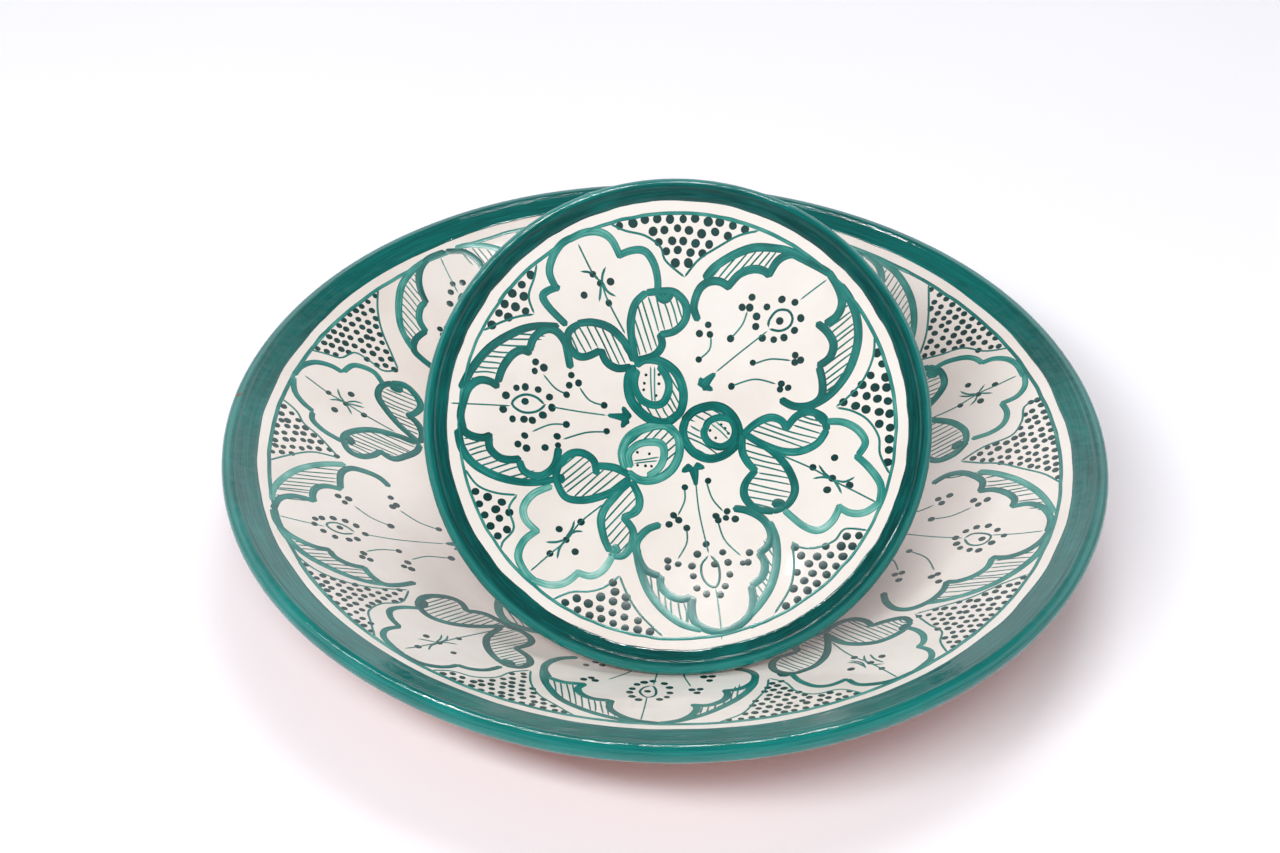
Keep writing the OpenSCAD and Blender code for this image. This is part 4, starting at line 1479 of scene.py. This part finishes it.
small_palmettes = [
    ([[(-133, 49.6), (-138, 51), (-144, 50), (-149, 45.5), (-151.3, 39.5)],
      [(-151.5, 38), (-150.3, 30.5), (-147, 25.6), (-142.5, 22.6)],
      [(-142.5, 22), (-142, 17.5), (-137, 13.6), (-130, 11.4)],
      [(-132.5, 50), (-129.4, 54.6), (-125, 56), (-120, 54.6), (-116.5, 50.6)]],
     [(-147.5, 41), (-138, 36), (-130.5, 33.5), (-122, 30.5), (-110, 27)],
     [[(-134, 40), (-133, 36.4), (-130.5, 33.5)], [(-130.5, 33.5), (-127, 36.2), (-123.5, 36.4)],
      [(-137, 32), (-133.5, 33.7), (-130.5, 33.5)], [(-130.5, 33.5), (-128.6, 30.6), (-127.3, 28)],
      [(-122.5, 34.6), (-126.5, 34.2), (-130.5, 33.5)]],
     [(-137.3, 36), (-129, 39), (-130.5, 33.3), (-122.5, 30.7), (-134, 27.2)],
     [([[(-101, 26), (-108, 31), (-114, 37), (-118, 43), (-117, 49), (-113, 52.5)],
        [(-113, 52.5), (-108, 53.6), (-103, 50), (-101, 45), (-103.5, 40), (-106, 38.5)],
        [(-106, 38.5), (-101.5, 35.5), (-99, 30), (-100, 26)]], -6,
       [(-114, 51), (-110.5, 50.4), (-108.5, 52)]),
      ([[(-100, 25), (-108, 25.4), (-117, 24.4), (-124, 21), (-129, 16), (-129.6, 12)],
        [(-129.6, 12), (-127, 7.5), (-122, 6.4), (-117.5, 9.6), (-115, 13.5)],
        [(-115, 13.5), (-110, 11.5), (-105, 15), (-101, 20), (-100, 24)]], -8,
       [(-129, 15), (-126.6, 13.6), (-127.5, 11)])]),
    ([[(-92, -83.5), (-98, -86), (-102.4, -91), (-101.6, -97), (-98, -102)],
      [(-98, -102.4), (-102.5, -107), (-103, -113), (-99, -119.5), (-95, -123.5)],
      [(-95, -123.5), (-89, -127.5), (-83, -128), (-78, -126.5), (-75, -123.5)],
      [(-75, -123.5), (-70, -124.6), (-64, -123), (-59, -118)]],
     [(-63, -87), (-75, -99), (-83, -108), (-90, -115), (-95, -119)],
     [[(-82.5, -100.5), (-82.4, -104.5), (-84, -108)], [(-91, -108.6), (-87, -108.3), (-83, -108)],
      [(-83, -108), (-80, -106.2), (-75.6, -106)], [(-83, -108.5), (-85.5, -112), (-86, -116)],
      [(-80, -100), (-80.5, -104), (-83, -108)]],
     [(-88, -104.8), (-75.7, -100.3), (-82.8, -108.2), (-77.3, -113.8), (-90.3, -115.2)],
     [([[(-58, -81), (-64, -77), (-69, -75.2), (-74.6, -76.4)],
        [(-74.6, -76.4), (-77, -71), (-82, -69), (-88, -71), (-92, -75), (-93, -81)],
        [(-93, -81), (-89, -87), (-82, -89.6), (-74, -88.6), (-66, -85.4), (-60, -82)]], 52,
       [(-92, -76), (-91, -79.5), (-92, -83)]),
      ([[(-61, -84), (-65.3, -94), (-65, -103), (-61.4, -111), (-57, -116)],
        [(-57, -116), (-52, -115.6), (-48.6, -111), (-49.5, -105), (-54.5, -99.4)],
        [(-54.5, -98.6), (-49.6, -94), (-49.3, -88.6), (-53, -84), (-59, -82)]], 44,
       [(-59.5, -113), (-56.5, -112.6), (-54, -114.6)])]),
    ([[(92, -87.5), (96, -91), (99, -97), (98.6, -103), (96.5, -105.5)],
      [(96.5, -105.5), (100.5, -110), (101, -116), (98, -121), (94, -125)],
      [(94, -125), (87, -129.5), (80, -131), (73.5, -129.5), (70, -124.5)],
      [(69.5, -124), (64, -127.5), (58, -127), (52.5, -121), (49.5, -113.5)]],
     [(65, -89), (70, -100), (74, -107), (79, -113), (88, -128)],
     [[(77, -105), (77, -109), (78, -113)], [(79, -105), (80.5, -110), (84, -114)],
      [(70, -109.5), (74, -111), (76.5, -115.5)], [(71, -108), (75.5, -111), (77, -117)],
      [(84, -115), (80.5, -114.5), (78, -113)]],
     [(73, -106), (83.5, -108.3), (78.7, -112.5), (71.8, -115.8), (83, -118.8)],
     [([[(63, -81), (68, -75), (74, -73.4), (79, -77), (80.5, -81.5)],
        [(80.5, -81.5), (87, -79.8), (93, -80.5), (95, -84.6)],
        [(95, -85), (91, -91), (83, -95.5), (75, -95), (69, -91), (64, -84)]], -54,
       [(94.5, -85), (92.5, -87.4), (91, -90)]),
      ([[(63.5, -82), (64, -92), (62.5, -101), (58, -109), (51, -113.5)],
        [(51, -113.5), (45, -111), (42.5, -104.5), (45, -97.5), (52, -94.6)],
        [(52.5, -94), (52, -88), (57, -83), (62, -81)]], -50,
       [(46, -110), (46.5, -113.6), (49.5, -114)])]),
    ([[(110.5, 69), (115, 70.8), (122, 71), (127, 69), (129.5, 65.5)],
      [(129.5, 65.5), (134, 66.3), (139.5, 64), (143, 59.5), (145, 53)],
      [(145.5, 53), (145.5, 47), (142, 42.5), (136, 41)],
      [(136, 41), (138, 35), (136.5, 29.5), (131, 26.3), (124, 26)]],
     [(108, 43.5), (118, 46), (127.5, 50), (134, 51.5), (143, 54)],
     [[(120, 54), (123, 51), (127, 50)], [(119.5, 51.5), (123.5, 50), (127, 49.8)],
      [(130, 54), (128.5, 52), (127, 50)], [(123.5, 44.5), (126, 46.5), (127, 49.8)],
      [(133, 48), (130, 49), (127, 50)]],
     [(123, 56), (134, 52.3), (127.2, 49.8), (120, 46.5), (127.8, 45)],
     [([[(97, 46), (104, 48.5), (110, 53), (114, 60), (112.5, 67.5), (108, 70.5)],
        [(108, 70.5), (102, 70), (98, 65), (98.5, 60), (102, 57.5)],
        [(102, 57.5), (97, 55), (95, 50), (97, 46.5)]], 12,
       [(112, 66), (109, 67), (107.6, 69.6)]),
      ([[(97, 44), (103, 44.5), (110, 42), (117, 38), (121.5, 31), (121.5, 25)],
        [(121.5, 25), (117, 20.5), (111, 19), (106.5, 22), (105, 27.5)],
        [(105, 27.5), (100, 29.5), (97, 35), (96.5, 43)]], 19,
       [(121, 24), (118, 25), (116.6, 22.6)])])]
NEXT_FIFTH = -71.6    # from one motif of a kind to the next, at the left, in degrees
*crown, leaf_pair = small_palmettes[0]
crown = [turned(part, NEXT_FIFTH) for part in crown]
leaf_pair = [(turned(sides, NEXT_FIFTH), degrees + NEXT_FIFTH, turned(blob, NEXT_FIFTH))
             for sides, degrees, blob in leaf_pair]
small_palmettes.append((*crown, leaf_pair))
for (lobes, axis, hairs, dots, leaves), load in zip(small_palmettes, (0.7, 0.85, 0.75, 0.6, 0.7)):
    for lobe in lobes:
        main_painting.stroke("palmettes", lobe, (2.3, 2.6, 2.3), load, extend=0.7)
    crossed_heart(main_painting, axis, hairs, dots, (0.7, 0.9, 0.7), 2.7)
    for sides, degrees, blob in leaves:
        leaf(main_painting, sides, degrees, blob, min(1.0, load * 1.2), width=2.9, spacing=2.1)

for angle in (165.6, 234, 307, 22, 94):
    ways = np.linspace(0, math.tau * 1.02, 13)
    outer = [turned((58 - 40 * math.cos(t), 21 * math.sin(t)), angle) for t in ways]
    inner = [turned((64 - 23 * math.cos(t), 11 * math.sin(t)), angle) for t in ways]
    seeds = [turned((x, y), angle) for x in (50, 58, 66, 74) for y in (-5, 5)]
    middle_lines = [[(44, -1), (64, 0), (84, -1)], [(44, 1), (64, 1.6), (84, 1)]]
    bud(main_painting, outer, inner, angle + 62, seeds, turned(middle_lines, angle))
ways = np.linspace(0, math.tau * 1.03, 15)
main_painting.stroke("buds", [(13 * math.cos(t), 13 * math.sin(t)) for t in ways], 3.2, 0.85)
main_painting.dots([(0, 0)] + [(6.5 * math.cos(t), 6.5 * math.sin(t)) for t in ways[:-1:2]], 2.8)

dot_fields = [
    ([(-122, 98.5), (-121.5, 88), (-119, 78), (-114, 67), (-111, 60.5)],
     [(-111, 60.5), (-117, 57.5), (-123, 60.3), (-129, 62), (-134, 57), (-140, 56.6), (-147, 56)]),
    ([(-155, 24), (-148.5, 19.5), (-145, 14), (-139, 9.5), (-130, 1)],
     [(-130, 1), (-140, -1), (-148, -7), (-156, -15)]),
    ([(-141, -69), (-132, -76.5), (-121, -79), (-110, -77.5), (-97, -71.6)],
     [(-97, -71.6), (-99, -82.5), (-106, -88), (-110, -96), (-108.5, -104), (-106, -115)]),
    ([(-84, -132), (-76, -129.5), (-68, -131), (-60, -128), (-55, -121.5), (-48, -117)],
     [(-48, -117), (-47.5, -128), (-44, -138), (-37, -146), (-30, -153.5)]),
    ([(22, -155), (31, -147), (36, -136), (40, -125), (41, -116)],
     [(41, -116), (47, -121), (51, -130), (58, -134), (67, -132), (75, -137.5)]),
    ([(107, -114.5), (105, -105), (106, -97), (102, -90), (97, -79)],
     [(97, -79), (107, -77.6), (118, -76), (130, -71.5), (140, -69)]),
    ([(156, -15), (150, -7), (142, 0.5), (134, 7), (126, 11), (119, 15)],
     [(119, 15), (128, 19.5), (139, 21.5), (143.5, 28), (145, 36), (152, 38)]),
    ([(141, 70), (131, 71.5), (122, 76), (113, 75.5), (103.5, 75.5)],
     [(103.5, 75.5), (107, 86), (108.5, 97), (109, 112.5)])]
dot_fields += [turned(dot_fields[1], -70), turned(dot_fields[0], NEXT_FIFTH)]
for start, end in dot_fields:
    main_painting.dot_field(start, end, spacing=4.1, size=2.65)

main_painting.finish(brush_green, faces["large"], 0.95)
print("large plate strokes", main_painting.count)

# %% [markdown]
# ## Finishing
#
# The two helper faces go.

# %% Remove the helper faces
for face in faces.values():
    bpy.data.objects.remove(face)
